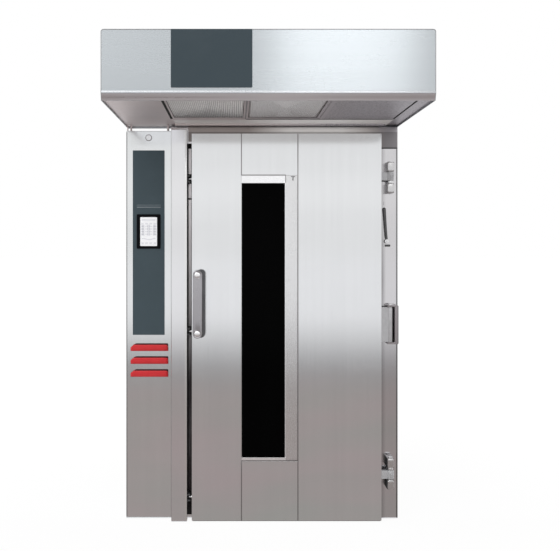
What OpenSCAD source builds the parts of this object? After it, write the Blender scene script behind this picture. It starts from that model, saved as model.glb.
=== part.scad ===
// Rack oven with a front extraction hood, a control column at the left and one rotating rack.
// Millimetres. X runs to the right, Y to the back and Z up from the floor.
// Sizes along Y are set from the front face of the cabinet, and place() centres the whole oven on its origin.

/* [Cabinet] */
// Overall width
body_w = 1449; // [1340:1:1600]
// Depth from the front face to the rear panel
body_d = 1300; // [1220:1:1450]
// Height of the roof over the baking chamber
roof_h = 2088; // [2070:1:2200]
// Width of the control column and the service bay behind it
bay_w = 239.5; // [220:0.5:280]
// Height of the control column and the service bay
bay_h = 2068; // [2050:1:2068]
// Thickness of the insulated walls, sheet to sheet
wall_t = 85; // [75:1:95]
// Thickness of the cabinet's sheet metal
skin_t = 2; // [1.5:0.1:3]
// Height of the base rails under the walls
base_h = 60; // [40:1:100]
// Thickness of the floor pan
pan_t = 12; // [8:1:16]

/* [Doorway] */
// Width of the front frame at the latch side of the doorway
left_jamb_w = 183; // [160:1:200]
// Width of the front frame at the hinge side of the doorway
right_jamb_w = 166.5; // [160:0.5:185]
// Height of the doorway
doorway_h = 1976; // [1900:1:1990]
// Height of the chamber above the doorway
head_room = 14; // [8:1:25]
// Sheet thickness of the front frame
frame_t = 3; // [2:0.5:4]
// Gap between the door's back and the front frame, which the gasket fills
seal_gap = 10; // [8:1:14]
// Width of the door gasket
gasket_w = 18; // [12:1:24]
// Distance of the gasket from the doorway's edge
gasket_inset = 10; // [6:1:16]
// Width of the latch post
post_w = 83; // [70:1:90]
// Distance of the latch post from the control column
post_inset = 5; // [2:1:8]
// Thickness of the pillar and header sheets
trim_t = 3; // [2:0.5:5]
// Height of the joint between the pillar sheet and the header
header_seam_z = 1976; // [1950:1:1985]

/* [Door] */
// Thickness of the door leaf
door_t = 50; // [44:1:58]
// Overlap of the door past the doorway at the sides and top
door_lap = 70; // [60:1:74]
// Clearance of the door above the floor
floor_clear = 6; // [4:1:12]
// Thickness of the door's front sheets
sheet_t = 6; // [4:0.5:8]
// Depth of the door's plug inside the doorway
plug_depth = 50; // [40:1:60]
// Clearance round the plug in the doorway
plug_clear = 12; // [10:1:16]
// Width of the door's left sheet
left_sheet_w = 262; // [240:1:290]
// Width of the door's middle section
mid_sheet_w = 297.5; // [280:0.5:320]
// Width of the seams between the sheets
seam_w = 2; // [1:0.5:4]

/* [Window] */
// Width of the window glass
glass_w = 228; // [200:1:235]
// Height of the window glass
glass_h = 1446; // [1300:1:1480]
// Height of the glass above the floor
glass_z = 339; // [320:1:360]
// Thickness of each pane
pane_t = 8; // [5:1:10]
// Depth of the outer pane behind the door's front
pane_recess = 3; // [1:0.5:5]
// Width of the pane's seat on the door's core
pane_seat = 9; // [6:1:14]
// Height of the trim strip over the glass
strip_h = 39; // [25:1:50]
// Height of the sill under the glass
sill_h = 18; // [12:1:30]
// Width of the mullion beside the glass
mullion_w = 4; // [3:0.5:8]
// Pitch of the lamp cover's ribs
rib_pitch = 4; // [3:0.5:8]
// Radius of the door lamp
lamp_r = 13; // [8:1:16]
// Length of the door lamp
lamp_l = 1000; // [600:10:1200]

/* [Hinges] */
// Distance of the hinge axis from the door's edge
hinge_out = 48; // [44:1:56]
// Depth of the hinge axis behind the door's front
hinge_back = 14; // [10:1:18]
// Radius of the hinge pins
pin_r = 8; // [6:0.5:10]
// Half the side of the square hinge blocks
block_half = 17.5; // [16:0.5:24]
// Height of a hinge block
block_h = 50; // [40:1:60]
// Height of a hinge arm
arm_h = 44; // [30:1:50]
// Thickness of the hinge arms
arm_t = 20; // [14:1:24]
// Height of the upper hinge's lower block
upper_hinge_z = 1733; // [1600:1:1760]
// Height of the lower hinge's lower block
lower_hinge_z = 172; // [120:1:260]
// Height of the middle hinge's guard bracket
guard_z = 936; // [850:1:1000]
// Length of the middle hinge's guard bracket
guard_h = 205; // [150:1:240]
// Thickness of the wide spacer in each hinge
spacer_h = 16; // [10:1:20]
// Thickness of the narrow spacer in each hinge
thin_spacer_h = 3; // [2:0.5:5]

/* [Handle and latch] */
// Width of the handle lever
handle_w = 49; // [40:1:54]
// Length of the handle lever
handle_l = 355; // [300:1:420]
// Thickness of the handle lever
handle_t = 12; // [8:1:16]
// Height of the handle's pivot
handle_z = 995.5; // [900:0.5:1100]
// Distance of the lever's front from the door
handle_out = 50; // [42:1:60]
// Distance of the handle's centre line from the door's latch edge
handle_in = 32.5; // [28:0.5:40]
// Radius of the handle's spindle
spindle_r = 6; // [5:0.5:8]
// Radius of the latch bolts
bolt_r = 8; // [6:0.5:9]
// Depth of the bolts behind the door's front
bolt_back = 30; // [26:1:34]
// Reach of the latch bolts past the door's edge
bolt_throw = 16; // [12:1:17]
// Height of the top bolt
top_bolt_z = 1808; // [1650:1:1850]
// Height of the middle bolt
mid_bolt_z = 1001; // [960:1:1100]
// Height of the bottom bolt
low_bolt_z = 124; // [100:1:260]
// Thickness of the keeper's plates
keeper_t = 8; // [5:1:12]
// Depth of the keepers
keeper_w = 40; // [34:1:44]
// Length of the hand lever's grip
grip_l = 181; // [150:1:200]
// Height of the hand lever's pivot
grip_z = 1478; // [1400:1:1500]

/* [Control column] */
// Depth of the control cabinet
case_d = 350; // [250:1:450]
// Depth of the column's door
leaf_t = 18; // [14:1:24]
// Height of the mounting plate's lower edge
plate_z = 480; // [300:1:560]
// Height of the mounting plate
plate_h = 1320; // [1200:1:1400]
// Width of the mounting plate
plate_w = 190; // [170:1:200]
// Height of the first rail above the plate's lower edge
rail_foot = 170; // [120:1:180]
// Distance between the switchgear's rails
rail_pitch = 300; // [260:1:320]
// Distance of the cable gland from the cabinet's rear
gland_back = 60; // [40:1:90]
// Width of the slate overlay
overlay_w = 170; // [140:1:190]
// Height of the slate overlay
overlay_h = 985; // [800:1:1000]
// Height of the overlay's lower edge
overlay_z = 978.5; // [960:0.5:1010]
// Thickness of the overlay
overlay_t = 1.5; // [1:0.5:3]
// Width of the touchscreen
screen_w = 127; // [100:1:135]
// Height of the touchscreen
screen_h = 183; // [150:1:210]
// Height of the touchscreen's lower edge
screen_z = 1439; // [1350:1:1500]
// Width of the red louvres
louvre_w = 203; // [160:1:210]
// Radius of the red louvres
louvre_r = 20.5; // [16:0.5:24]
// Height of the lowest louvre's centre
louvre_z = 775; // [700:1:800]
// Distance between the louvres
louvre_pitch = 69; // [60:1:76]

/* [Hood] */
// Width of the hood
hood_w = 1448; // [1340:1:1449]
// Reach of the hood before the cabinet's front face
hood_out = 850; // [750:1:900]
// Height of the hood
hood_h = 308; // [285:1:330]
// Depth of the hood over the cabinet
hood_seat = 60; // [40:1:80]
// Height of the slanted band under the hood's front
hem_h = 30; // [16:1:40]
// Depth of the slanted band
hem_d = 12; // [8:1:20]
// Corner radius of the hood
hood_r = 12; // [6:1:24]
// Height of the underside panel above the hood's lower edge
underside_up = 10; // [8:1:16]
// Width of a grease filter cassette
filter_w = 370; // [340:1:380]
// Length of a grease filter cassette
filter_l = 560; // [480:1:600]
// Thickness of a grease filter cassette
filter_t = 20; // [14:1:30]
// Distance of the first cassette from the hood's left end
filter_x = 263; // [255:1:300]
// Distance of the cassettes behind the hood's front
filter_y = 40; // [30:1:60]
// Width of the sign plate
sign_w = 352; // [250:1:380]
// Height of the sign plate
sign_h = 252; // [200:1:255]
// Distance of the sign plate from the hood's left end
sign_x = 303; // [280:1:340]
// Thickness of the sign plate
sign_t = 3; // [1:0.5:5]
// Radius of the hood's duct spigot
spigot_r = 100; // [80:1:100]
// Height of the spigots above the hood's top
spigot_h = 57; // [50:1:80]

/* [Air, steam and vapour] */
// Depth of the plenum behind the air panel
plenum_d = 280; // [250:1:320]
// Radius of the circulation fan
fan_r = 230; // [180:1:235]
// Width of the circulation fan
fan_w = 110; // [80:1:130]
// Height of the circulation fan's axis
fan_z = 1000; // [800:1:1200]
// Radius of the fan's shaft
fan_shaft_r = 15; // [10:1:18]
// Reach of the fan motor behind the rear panel
motor_d = 150; // [120:1:160]
// Radius of the fan motor
motor_r = 90; // [70:1:110]
// Width of the steam generator
gen_w = 110; // [80:1:120]
// Depth of the steam generator
gen_d = 130; // [100:1:160]
// Radius of the water pipe
pipe_r = 10.5; // [8:0.5:13]
// Distance of the water valve behind the pipe's bend
valve_dy = 110; // [80:1:140]
// Height of the water pipe
pipe_z = 1620; // [1600:1:1700]
// Radius of the hose tail on the water inlet
tail_r = 9; // [7:0.5:10]
// Length of the hose tail
tail_l = 30; // [24:1:40]
// Radius of the vapour stack
stack_r = 75; // [60:1:90]
// Distance of the vapour stack from the chamber's right wall
stack_in = 179.75; // [150:0.25:220]
// Distance of the vapour stack from the chamber's centre along Y
stack_dy = 250; // [220:1:300]
// Height of the damper's spindle above the roof
damper_z = 162; // [120:1:200]
// Radius of the damper's spindle
damper_pin_r = 5; // [4:0.5:8]

/* [Rack lift] */
// Radius of the carrier's shaft
carrier_r = 20; // [15:1:22]
// Outer radius of the lift sleeve
sleeve_r = 30; // [27:1:34]
// Travel of the rack lift
lift_travel = 30; // [20:1:35]
// Length of the carrier's beam
beam_l = 680; // [500:1:700]
// Height of the carrier's beam
beam_h = 40; // [30:1:50]
// Drop of the hooks under the beam
hook_drop = 75; // [60:1:90]
// Height of the lift's guide tube above the roof
guide_h = 110; // [90:1:130]
// Height of the lift's gearbox
gearbox_h = 100; // [80:1:120]
// Length of the lift's motor
lift_motor_l = 210; // [160:1:240]
// Radius of the lift's motor
lift_motor_r = 58; // [45:1:66]
// Distance of the lifting jack from the carrier's shaft
jack_dx = 75; // [70:1:90]
// Width of the lift's roof plate
lift_plate_w = 180; // [160:1:220]

/* [Hidden] */
$fn = 64;

// Clearances
run_fit = 0.05;
face_gap = 0.3;
hole_gap = 1;
over = 1;

// Cabinet and baking chamber
body_l = -body_w / 2;
body_r = body_w / 2;
block_l = body_l + bay_w;
in_l = block_l + wall_t;
in_r = body_r - wall_t;
in_front = wall_t;
in_back = body_d - wall_t;
in_top = doorway_h + head_room;
air_y = in_back - plenum_d;
mid_x = (in_l + in_r) / 2;
mid_y = (in_front + air_y) / 2;
centre_y = (body_d + motor_d - hood_out - sign_t) / 2;

// Doorway and door
open_l = block_l + left_jamb_w;
open_r = body_r - right_jamb_w;
door_l = open_l - door_lap;
door_r = open_r + door_lap;
door_back = -seal_gap;
door_front = door_back - door_t;
core_front = door_front + sheet_t;
door_z0 = floor_clear;
door_top = doorway_h + door_lap;
seam_1 = door_l + left_sheet_w;
seam_2 = seam_1 + mid_sheet_w;
glass_l = seam_1 + seam_w / 2;
glass_r = glass_l + glass_w;
glass_top = glass_z + glass_h;
lamp_l_x = glass_r + mullion_w;
lamp_r_x = seam_2 - seam_w / 2;
lamp_z = glass_z + glass_h / 2;
post_l = block_l + post_inset;
post_r = post_l + post_w;

// Hinges, handle and latch
hinge_x = door_r + hinge_out;
hinge_y = door_front + hinge_back;
post_face = -trim_t;
knuckle_r = arm_t;
mid_knuckle_r = 16;
handle_x = door_l + handle_in;
handle_front = door_front - handle_out;
bar_x = door_l + 22;
bar_w = 10;
bolt_y = door_front + bolt_back;
bolt_z = [low_bolt_z, mid_bolt_z, top_bolt_z];
lever_x = hinge_x - 14;
lever_pin_r = 4;
lever_hub_r = 9;
lever_y0 = -30;

// Control column
case_front = leaf_t + 1;
case_foot = 6;
case_lid = 4;
leaf_z0 = case_foot + 1;
leaf_top = bay_h - case_lid - 1;
leaf_pin_r = 3;
leaf_pin_in = 4;
column_x = (body_l + block_l) / 2;
screen_x = column_x;
lock_x = column_x;
lock_z = bay_h - 37;
lip_drop = 20;

// Hood
hood_l = -hood_w / 2;
hood_right = hood_w / 2;
hood_top = roof_h + hood_h;
underside_z = roof_h + underside_up;
filter_x0 = hood_l + filter_x;
filter_y0 = -hood_out + filter_y;
ledge = 12;
hood_fan_x = hood_l + 134;
hood_fan_y = -hood_out / 2;
hood_fan_r = spigot_r - 20;
spigot_top = hood_top + spigot_h;
spigot_z = hood_top + 7;
neck_t = 3;

// Air, steam, vapour and lift
stack_x = in_r - stack_in;
stack_y = mid_y + stack_dy;
damper_top = roof_h + damper_z;
inlet_x = column_x;
pipe_y = in_back - plenum_d / 2;
fan_y = air_y + 25;
guide_r = sleeve_r + 16;
gearbox_z = roof_h + guide_h;
gearbox_top = gearbox_z + gearbox_h;
beam_top = in_top - lift_travel - 55;
beam_z = beam_top - beam_h;

// Moves the oven so that its bounding box is centred on the origin
module place() {
    translate([0, -centre_y, 0]) children();
}

// A block between two values on each axis
module block(x, y, z) {
    translate([x[0], y[0], z[0]]) cube([x[1] - x[0], y[1] - y[0], z[1] - z[0]]);
}

// Round bars along each axis
module x_rod(x, y, z, r) {
    translate([x[0], y, z]) rotate([0, 90, 0]) cylinder(h = x[1] - x[0], r = r);
}

module y_rod(x, y, z, r) {
    translate([x, y[0], z]) rotate([-90, 0, 0]) cylinder(h = y[1] - y[0], r = r);
}

module z_rod(x, y, z, r) {
    translate([x, y, z[0]]) cylinder(h = z[1] - z[0], r = r);
}

// A flat outline with round corners, between two values on each axis
module round_outline(x, z, r) {
    translate([x[0] + r, z[0]]) square([x[1] - x[0] - 2 * r, z[1] - z[0]]);
    translate([x[0], z[0] + r]) square([x[1] - x[0], z[1] - z[0] - 2 * r]);
    for (cx = [x[0] + r, x[1] - r], cz = [z[0] + r, z[1] - r]) {
        translate([cx, cz]) circle(r = r);
    }
}

// An upright plate with round corners
module front_plate(x, y, z, r) {
    translate([0, y[1], 0]) rotate([90, 0, 0]) linear_extrude(y[1] - y[0]) round_outline(x, z, r);
}

// Three rails under the insulated walls
module base_frame() {
    place() color("dimgray") {
        for (x = [[block_l + skin_t, in_l - skin_t], [in_r + skin_t, body_r - skin_t]]) {
            block(x, [in_front, body_d - skin_t], [0, base_h]);
        }
        block([in_l - skin_t, in_r + skin_t], [in_back + skin_t, body_d - skin_t], [0, base_h]);
    }
}

// Floor of the chamber with a tongue through the doorway
module floor_pan() {
    place() color("silver") {
        block([in_l - skin_t, in_r + skin_t], [in_front, in_back + skin_t], [0, pan_t]);
        block([open_l, open_r], [0, in_front], [0, pan_t]);
    }
}

// Room for the water pipe through the left wall
module pipe_hole() {
    x_rod([block_l - over, in_l + over], pipe_y, pipe_z, pipe_r + hole_gap);
}

// Liner and outer sheet of the wall beside the service bay
module left_wall() {
    place() color("silver") difference() {
        union() {
            block([in_l - skin_t, in_l], [in_front, in_back + skin_t], [pan_t, in_top]);
            block([block_l, block_l + skin_t], [in_front, body_d - skin_t], [0, roof_h - skin_t]);
        }
        pipe_hole();
    }
}

module right_liner() {
    place() color("silver") {
        block([in_r, in_r + skin_t], [in_front, in_back + skin_t], [pan_t, in_top]);
    }
}

// Room for the fan's bearing tube through the rear wall
module fan_hole() {
    y_rod(mid_x, [in_back - over, body_d + over], fan_z, fan_shaft_r + 13 + hole_gap);
}

module rear_liner() {
    place() color("silver") difference() {
        block([in_l, in_r], [in_back, in_back + skin_t], [pan_t, in_top]);
        fan_hole();
    }
}

// Room for the vapour stack through the roof
module stack_hole() {
    z_rod(stack_x, stack_y, [in_top - over, roof_h + over], stack_r + neck_t + hole_gap);
}

// Four sheets over the chamber, with a square opening between them for the lift's guide
module lid_sheets(x, y, z) {
    half = guide_r + hole_gap;
    strip = [mid_x - half + face_gap, mid_x + half - face_gap];
    difference() {
        union() {
            block([x[0], mid_x - half], y, z);
            block([mid_x + half, x[1]], y, z);
            block(strip, [y[0], mid_y - half], z);
            block(strip, [mid_y + half, y[1]], z);
        }
        stack_hole();
    }
}

module ceiling_liner() {
    place() color("silver") {
        lid_sheets([in_l - skin_t, in_r + skin_t], [in_front, in_back + skin_t], [in_top, in_top + skin_t]);
    }
}

// Mineral wool in the walls, the roof and the front frame
module wall_insulation() {
    wool_top = in_top + skin_t;
    place() color("khaki") difference() {
        union() {
            for (x = [[block_l + skin_t, in_l - skin_t], [in_r + skin_t, body_r - skin_t]]) {
                block(x, [in_front, body_d - skin_t], [base_h, wool_top]);
            }
            block([in_l - skin_t, in_r + skin_t], [in_back + skin_t, body_d - skin_t], [base_h, wool_top]);
            block([block_l + skin_t, body_r - skin_t], [in_front, body_d - skin_t],
                  [wool_top, roof_h - skin_t]);
            for (x = [[block_l + frame_t, open_l - frame_t], [open_r + frame_t, body_r - skin_t - frame_t]]) {
                block(x, [frame_t, in_front], [frame_t, roof_h - frame_t]);
            }
            block([open_l - frame_t, open_r + frame_t], [frame_t, in_front],
                  [doorway_h + frame_t, roof_h - frame_t]);
        }
        pipe_hole();
        fan_hole();
        stack_hole();
        z_rod(mid_x, mid_y, [in_top - over, roof_h + over], guide_r + hole_gap);
    }
}

// Side and top of the service bay behind the control cabinet
module left_side_panel() {
    place() color("lightgray") {
        block([body_l, body_l + skin_t], [case_d, body_d - skin_t], [0, bay_h]);
        block([body_l + skin_t, block_l], [case_d, body_d - skin_t], [bay_h - skin_t, bay_h]);
    }
}

module right_side_panel() {
    place() color("lightgray") block([body_r - skin_t, body_r], [0, body_d], [0, roof_h]);
}

// Rear panel with cooling slots for the service bay
module rear_panel() {
    slot_w = bay_w - 90;
    slot_h = 8;
    slot_pitch = 28;
    slot_count = 10;
    place() color("lightgray") difference() {
        union() {
            block([block_l, body_r - skin_t], [body_d - skin_t, body_d], [0, roof_h]);
            block([body_l, block_l], [body_d - skin_t, body_d], [0, bay_h]);
        }
        fan_hole();
        y_rod(inlet_x, [body_d - skin_t - over, body_d + over], pipe_z, pipe_r + hole_gap);
        for (base = [300, 1100], i = [0 : slot_count - 1]) {
            translate([column_x - slot_w / 2, body_d - skin_t - over, base + i * slot_pitch]) {
                cube([slot_w, skin_t + 2 * over, slot_h]);
            }
        }
    }
}

module roof_panel() {
    place() color("lightgray") {
        lid_sheets([block_l, body_r - skin_t], [in_front, body_d - skin_t], [roof_h - skin_t, roof_h]);
    }
}

// Sheet frame round the doorway, open at its back to the wool
module door_frame() {
    place() color("lightgray") difference() {
        block([block_l, body_r - skin_t], [0, in_front], [0, roof_h]);
        block([open_l, open_r], [-over, in_front + over], [-over, doorway_h]);
        for (x = [[block_l + frame_t, open_l - frame_t], [open_r + frame_t, body_r - skin_t - frame_t]]) {
            block(x, [frame_t, in_front + over], [frame_t, roof_h - frame_t]);
        }
        block([open_l - frame_t - over, open_r + frame_t + over], [frame_t, in_front + over],
              [doorway_h + frame_t, roof_h - frame_t]);
    }
}

// Folded post that the keepers are screwed to
module latch_post() {
    place() color("lightgray") difference() {
        block([post_l, post_r], [door_front, 0], [0, bay_h]);
        block([post_l + frame_t, post_r - frame_t], [door_front + frame_t, over],
              [frame_t, bay_h - frame_t]);
    }
}

module hinge_post() {
    place() color("lightgray") {
        block([door_r + 4, body_r - skin_t], [post_face, 0], [0, header_seam_z - 1]);
    }
}

// Header over the door, with a short leg on the hinge pillar
module header_panel() {
    place() color("lightgray") {
        block([post_r + 4, body_r - skin_t], [post_face, 0], [doorway_h + gasket_inset + gasket_w + 6, roof_h]);
        block([door_r + 4, body_r - skin_t], [post_face, 0],
              [header_seam_z + 1, doorway_h + gasket_inset + gasket_w + 6]);
    }
}

// Gasket on the frame at both sides and the top of the doorway
module door_gasket() {
    y = [door_back + face_gap, 0];
    top = doorway_h + gasket_inset;
    place() color("black") {
        block([open_l - gasket_inset - gasket_w, open_l - gasket_inset], y, [pan_t, top]);
        block([open_r + gasket_inset, open_r + gasket_inset + gasket_w], y, [pan_t, top]);
        block([open_l - gasket_inset - gasket_w, open_r + gasket_inset + gasket_w], y, [top, top + gasket_w]);
    }
}

// Panel before the plenum: suction mouth before the fan, air slots at both sides
module air_panel() {
    sheet = skin_t + 1;
    mouth_r = fan_r - 50;
    slot_w = 70;
    slot_h = 14;
    slot_pitch = 50;
    cut_y = [air_y - over, air_y + sheet + over];
    place() color("silver") difference() {
        block([in_l, in_r], [air_y, air_y + sheet], [pan_t, in_top]);
        y_rod(mid_x, cut_y, fan_z, mouth_r);
        for (x = [in_l + 45, in_r - 45 - slot_w], z = [160 : slot_pitch : in_top - 160]) {
            block([x, x + slot_w], cut_y, [z, z + slot_h]);
        }
    }
}

// Four ring heaters round the fan, on three brackets at the rear liner
module heater_bank() {
    ring_r = fan_r + 35;
    tube_r = 6;
    ring_pitch = 28;
    rings = 4;
    place() color("dimgray") translate([mid_x, fan_y, fan_z]) rotate([-90, 0, 0]) {
        for (i = [0 : rings - 1]) {
            translate([0, 0, i * ring_pitch]) rotate_extrude() translate([ring_r, 0]) circle(r = tube_r);
        }
        for (a = [90 : 120 : 330]) {
            rotate([0, 0, a]) translate([ring_r - 8, -4, 0]) cube([16, 8, in_back - fan_y]);
        }
    }
}

// Motor behind the rear panel, with its bearing tube through the wall
module fan_motor() {
    tube_r = fan_shaft_r + 13;
    flange = 120;
    flange_t = 8;
    fin_r = motor_r + 6;
    place() color("slategray") difference() {
        union() {
            y_rod(mid_x, [in_back - 60, body_d], fan_z, tube_r);
            front_plate([mid_x - flange, mid_x + flange], [body_d, body_d + flange_t],
                        [fan_z - flange, fan_z + flange], 14);
            y_rod(mid_x, [body_d + flange_t, body_d + motor_d], fan_z, motor_r);
            for (i = [0 : 6]) {
                y_rod(mid_x, [body_d + 24 + i * 14, body_d + 29 + i * 14], fan_z, fin_r);
            }
            block([mid_x - 40, mid_x + 40], [body_d + 30, body_d + 110], [fan_z, fan_z + motor_r + 35]);
        }
        y_rod(mid_x, [in_back - 60 - over, body_d + 72], fan_z, fan_shaft_r + run_fit);
    }
}

// Radial fan: back plate, blades, front ring, hub and shaft
module fan_wheel() {
    plate_t = 4;
    blades = 16;
    ring_w = 55;
    back_y = fan_y + fan_w;
    place() color("gainsboro") {
        y_rod(mid_x, [back_y - plate_t, back_y], fan_z, fan_r);
        y_rod(mid_x, [back_y - 40, back_y + 6], fan_z, fan_shaft_r + 18);
        y_rod(mid_x, [back_y - 48, body_d + 70], fan_z, fan_shaft_r);
        difference() {
            y_rod(mid_x, [fan_y, fan_y + plate_t], fan_z, fan_r);
            y_rod(mid_x, [fan_y - over, fan_y + plate_t + over], fan_z, fan_r - ring_w);
        }
        for (a = [0 : 360 / blades : 359]) {
            translate([mid_x, fan_y, fan_z]) rotate([0, a, 0]) translate([fan_r - ring_w - 30, 0, 0]) {
                rotate([0, 35, 0]) translate([0, 0, -1.5]) cube([ring_w + 10, fan_w - 1, 3]);
            }
        }
    }
}

// Cascade of tilted trays that the water runs down, between two side plates
module steam_generator() {
    gen_z = [300, pipe_z - 100];
    tray_pitch = 110;
    tray_t = 6;
    side_t = 4;
    tray = [gen_w - 18, gen_d - side_t, tray_t];
    place() color("rosybrown") {
        for (y = [pipe_y - gen_d / 2, pipe_y + gen_d / 2 - side_t]) {
            block([in_l, in_l + gen_w], [y, y + side_t], gen_z);
        }
        for (i = [0 : floor((gen_z[1] - gen_z[0] - 60) / tray_pitch)]) {
            tilt = i % 2 == 0 ? 14 : -14;
            translate([in_l + gen_w / 2, pipe_y, gen_z[0] + 40 + i * tray_pitch]) rotate([0, tilt, 0]) {
                translate(-tray / 2) cube(tray);
            }
        }
    }
}

// Water inlet, solenoid valve in the bay, and the pipe to the steam generator
module water_pipe() {
    drop_x = in_l + gen_w / 2;
    valve_y = pipe_y + valve_dy;
    valve = [44, 60, 44];
    coil_r = 20;
    coil_h = 53;
    nut_t = 10;
    place() color("darkkhaki") {
        y_rod(inlet_x, [pipe_y, body_d], pipe_z, pipe_r);
        y_rod(inlet_x, [body_d, body_d + nut_t + tail_l], pipe_z, tail_r);
        translate([inlet_x, pipe_y, pipe_z]) sphere(r = pipe_r);
        x_rod([inlet_x, drop_x], pipe_y, pipe_z, pipe_r);
        translate([drop_x, pipe_y, pipe_z]) sphere(r = pipe_r);
        z_rod(drop_x, pipe_y, [pipe_z - 85, pipe_z], pipe_r);
        y_rod(inlet_x, [body_d, body_d + nut_t], pipe_z, pipe_r + 8);
        translate([inlet_x, valve_y, pipe_z] - valve / 2) cube(valve);
        z_rod(inlet_x, valve_y, [pipe_z, pipe_z + valve[2] / 2 + coil_h], coil_r);
    }
}

// Duct from the chamber's ceiling, with a roof flange and the damper's drive box
module vapour_stack() {
    duct_t = 2;
    flange_t = 6;
    drive_x = stack_x + stack_r;
    place() color("silver") difference() {
        union() {
            z_rod(stack_x, stack_y, [in_top, spigot_z], stack_r + neck_t);
            z_rod(stack_x, stack_y, [spigot_z, spigot_top], stack_r);
            z_rod(stack_x, stack_y, [roof_h, roof_h + flange_t], stack_r + 25);
            block([drive_x - 4, drive_x + 78], [stack_y - 40, stack_y + 40], [damper_top - 50, damper_top + 50]);
        }
        z_rod(stack_x, stack_y, [in_top - over, spigot_top + over], stack_r - duct_t);
        x_rod([stack_x - stack_r - neck_t - over, drive_x + 48], stack_y, damper_top, damper_pin_r + run_fit);
    }
}

module damper_flap() {
    flap_r = stack_r - 4;
    place() color("gainsboro") {
        z_rod(stack_x, stack_y, [damper_top - 1.5, damper_top + 1.5], flap_r);
        x_rod([stack_x - stack_r - 2, stack_x + stack_r + 46], stack_y, damper_top, damper_pin_r);
    }
}

// Guide of the lift sleeve in four segments with their roof plate and ceiling collar, and the lifting jack
module lift_guide() {
    plate_t = 10;
    plate_half = lift_plate_w / 2;
    collar_t = 3;
    collar_r = (guide_r + hole_gap) * sqrt(2) + 5;
    jack_x = mid_x - jack_dx;
    jack_r = 22;
    rod_r = 10;
    slit = 2 * face_gap;
    z = [in_top - collar_t, gearbox_z];
    place() color("slategray") difference() {
        union() {
            block([jack_x - plate_half + 15, mid_x + plate_half + 20], [mid_y - plate_half, mid_y + plate_half],
                  [roof_h, roof_h + plate_t]);
            z_rod(mid_x, mid_y, [z[0], in_top], collar_r);
            z_rod(mid_x, mid_y, z, guide_r);
            z_rod(jack_x, mid_y, [roof_h, gearbox_z - 30], jack_r);
            z_rod(jack_x, mid_y, [roof_h, gearbox_z], rod_r);
        }
        z_rod(mid_x, mid_y, [z[0] - over, z[1] + over], sleeve_r + run_fit);
        for (a = [45, 135]) {
            translate([mid_x, mid_y, z[0] - over]) rotate([0, 0, a]) {
                translate([-3 * plate_half, -slit / 2, 0]) cube([6 * plate_half, slit, z[1] - z[0] + 2 * over]);
            }
        }
    }
}

// Hollow gearbox with its motor, and the sleeve that lifts the carrier
module lift_gearbox() {
    half_x = 100;
    half_y = 75;
    flange_t = 20;
    z = [in_top - lift_travel - 10, gearbox_top];
    motor_z = gearbox_z + gearbox_h / 2;
    place() color("steelblue") difference() {
        union() {
            z_rod(mid_x, mid_y, [z[0], gearbox_z], sleeve_r);
            block([mid_x - half_x, mid_x + half_x], [mid_y - half_y, mid_y + half_y], [gearbox_z, z[1]]);
            x_rod([mid_x + half_x, mid_x + half_x + flange_t], mid_y, motor_z, lift_motor_r + 8);
            x_rod([mid_x + half_x, mid_x + half_x + lift_motor_l], mid_y, motor_z, lift_motor_r);
        }
        z_rod(mid_x, mid_y, [z[0] - over, z[1] + over], carrier_r + run_fit);
    }
}

// Rotating beam with a hook at each end, and its shaft through the lift sleeve
module rack_carrier() {
    hook_t = 12;
    hook_w = 60;
    lip_w = 50;
    half_y = 22;
    half_l = beam_l / 2;
    place() color("silver") translate([mid_x, mid_y, 0]) {
        translate([0, 0, beam_top]) cylinder(h = gearbox_top + 40 - beam_top, r = carrier_r);
        translate([0, 0, gearbox_top + face_gap]) cylinder(h = 18, r = carrier_r + 14);
        block([-half_l, half_l], [-half_y, half_y], [beam_z, beam_top]);
        for (side = [0, 180]) rotate([0, 0, side]) {
            block([half_l - hook_t, half_l], [-hook_w / 2, hook_w / 2], [beam_z - hook_drop, beam_z + 10]);
            block([half_l - lip_w, half_l], [-hook_w / 2, hook_w / 2],
                  [beam_z - hook_drop - hook_t, beam_z - hook_drop]);
            block([half_l - lip_w, half_l - lip_w + hook_t], [-hook_w / 2, hook_w / 2],
                  [beam_z - hook_drop - hook_t, beam_z - hook_drop + 14]);
        }
    }
}

// Height of the arm over the lower block, for the upper and the lower hinge
function hinge_list() = [
    [upper_hinge_z, spacer_h, thin_spacer_h],
    [lower_hinge_z, thin_spacer_h, spacer_h]
];

// Fixed blocks above and below each hinge arm
module hinge_blocks() {
    place() color("gainsboro") for (h = hinge_list()) {
        for (z = [h[0], h[0] + block_h + h[1] + arm_h + h[2]]) difference() {
            block([hinge_x - block_half, hinge_x + block_half], [hinge_y - block_half, post_face],
                  [z, z + block_h]);
            z_rod(hinge_x, hinge_y, [z - over, z + block_h + over], pin_r + run_fit);
        }
    }
}

// Pins with a head, and the spacers on them; the middle hinge has a plain pin
module hinge_pins() {
    place() color("silver") {
        for (h = hinge_list()) {
            arm_z = h[0] + block_h + h[1];
            top = arm_z + arm_h + h[2] + block_h;
            z_rod(hinge_x, hinge_y, [h[0], top], pin_r);
            z_rod(hinge_x, hinge_y, [top, top + 5], pin_r + 4);
            z_rod(hinge_x, hinge_y, [h[0] + block_h, arm_z - face_gap], pin_r + 6);
            z_rod(hinge_x, hinge_y, [arm_z + arm_h + face_gap, arm_z + arm_h + h[2]], pin_r + 6);
        }
        z_rod(hinge_x, hinge_y, [guard_z, guard_z + guard_h], pin_r);
        z_rod(hinge_x, hinge_y, [guard_z + guard_h, guard_z + guard_h + 5], pin_r + 4);
    }
}

// One arm from the door's edge to a knuckle round the pin
module arm(z, h, r) {
    difference() {
        union() {
            block([door_r, hinge_x], [hinge_y - arm_t / 2, hinge_y + arm_t / 2], [z, z + h]);
            z_rod(hinge_x, hinge_y, [z, z + h], r);
        }
        z_rod(hinge_x, hinge_y, [z - over, z + h + over], pin_r + run_fit);
    }
}

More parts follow.
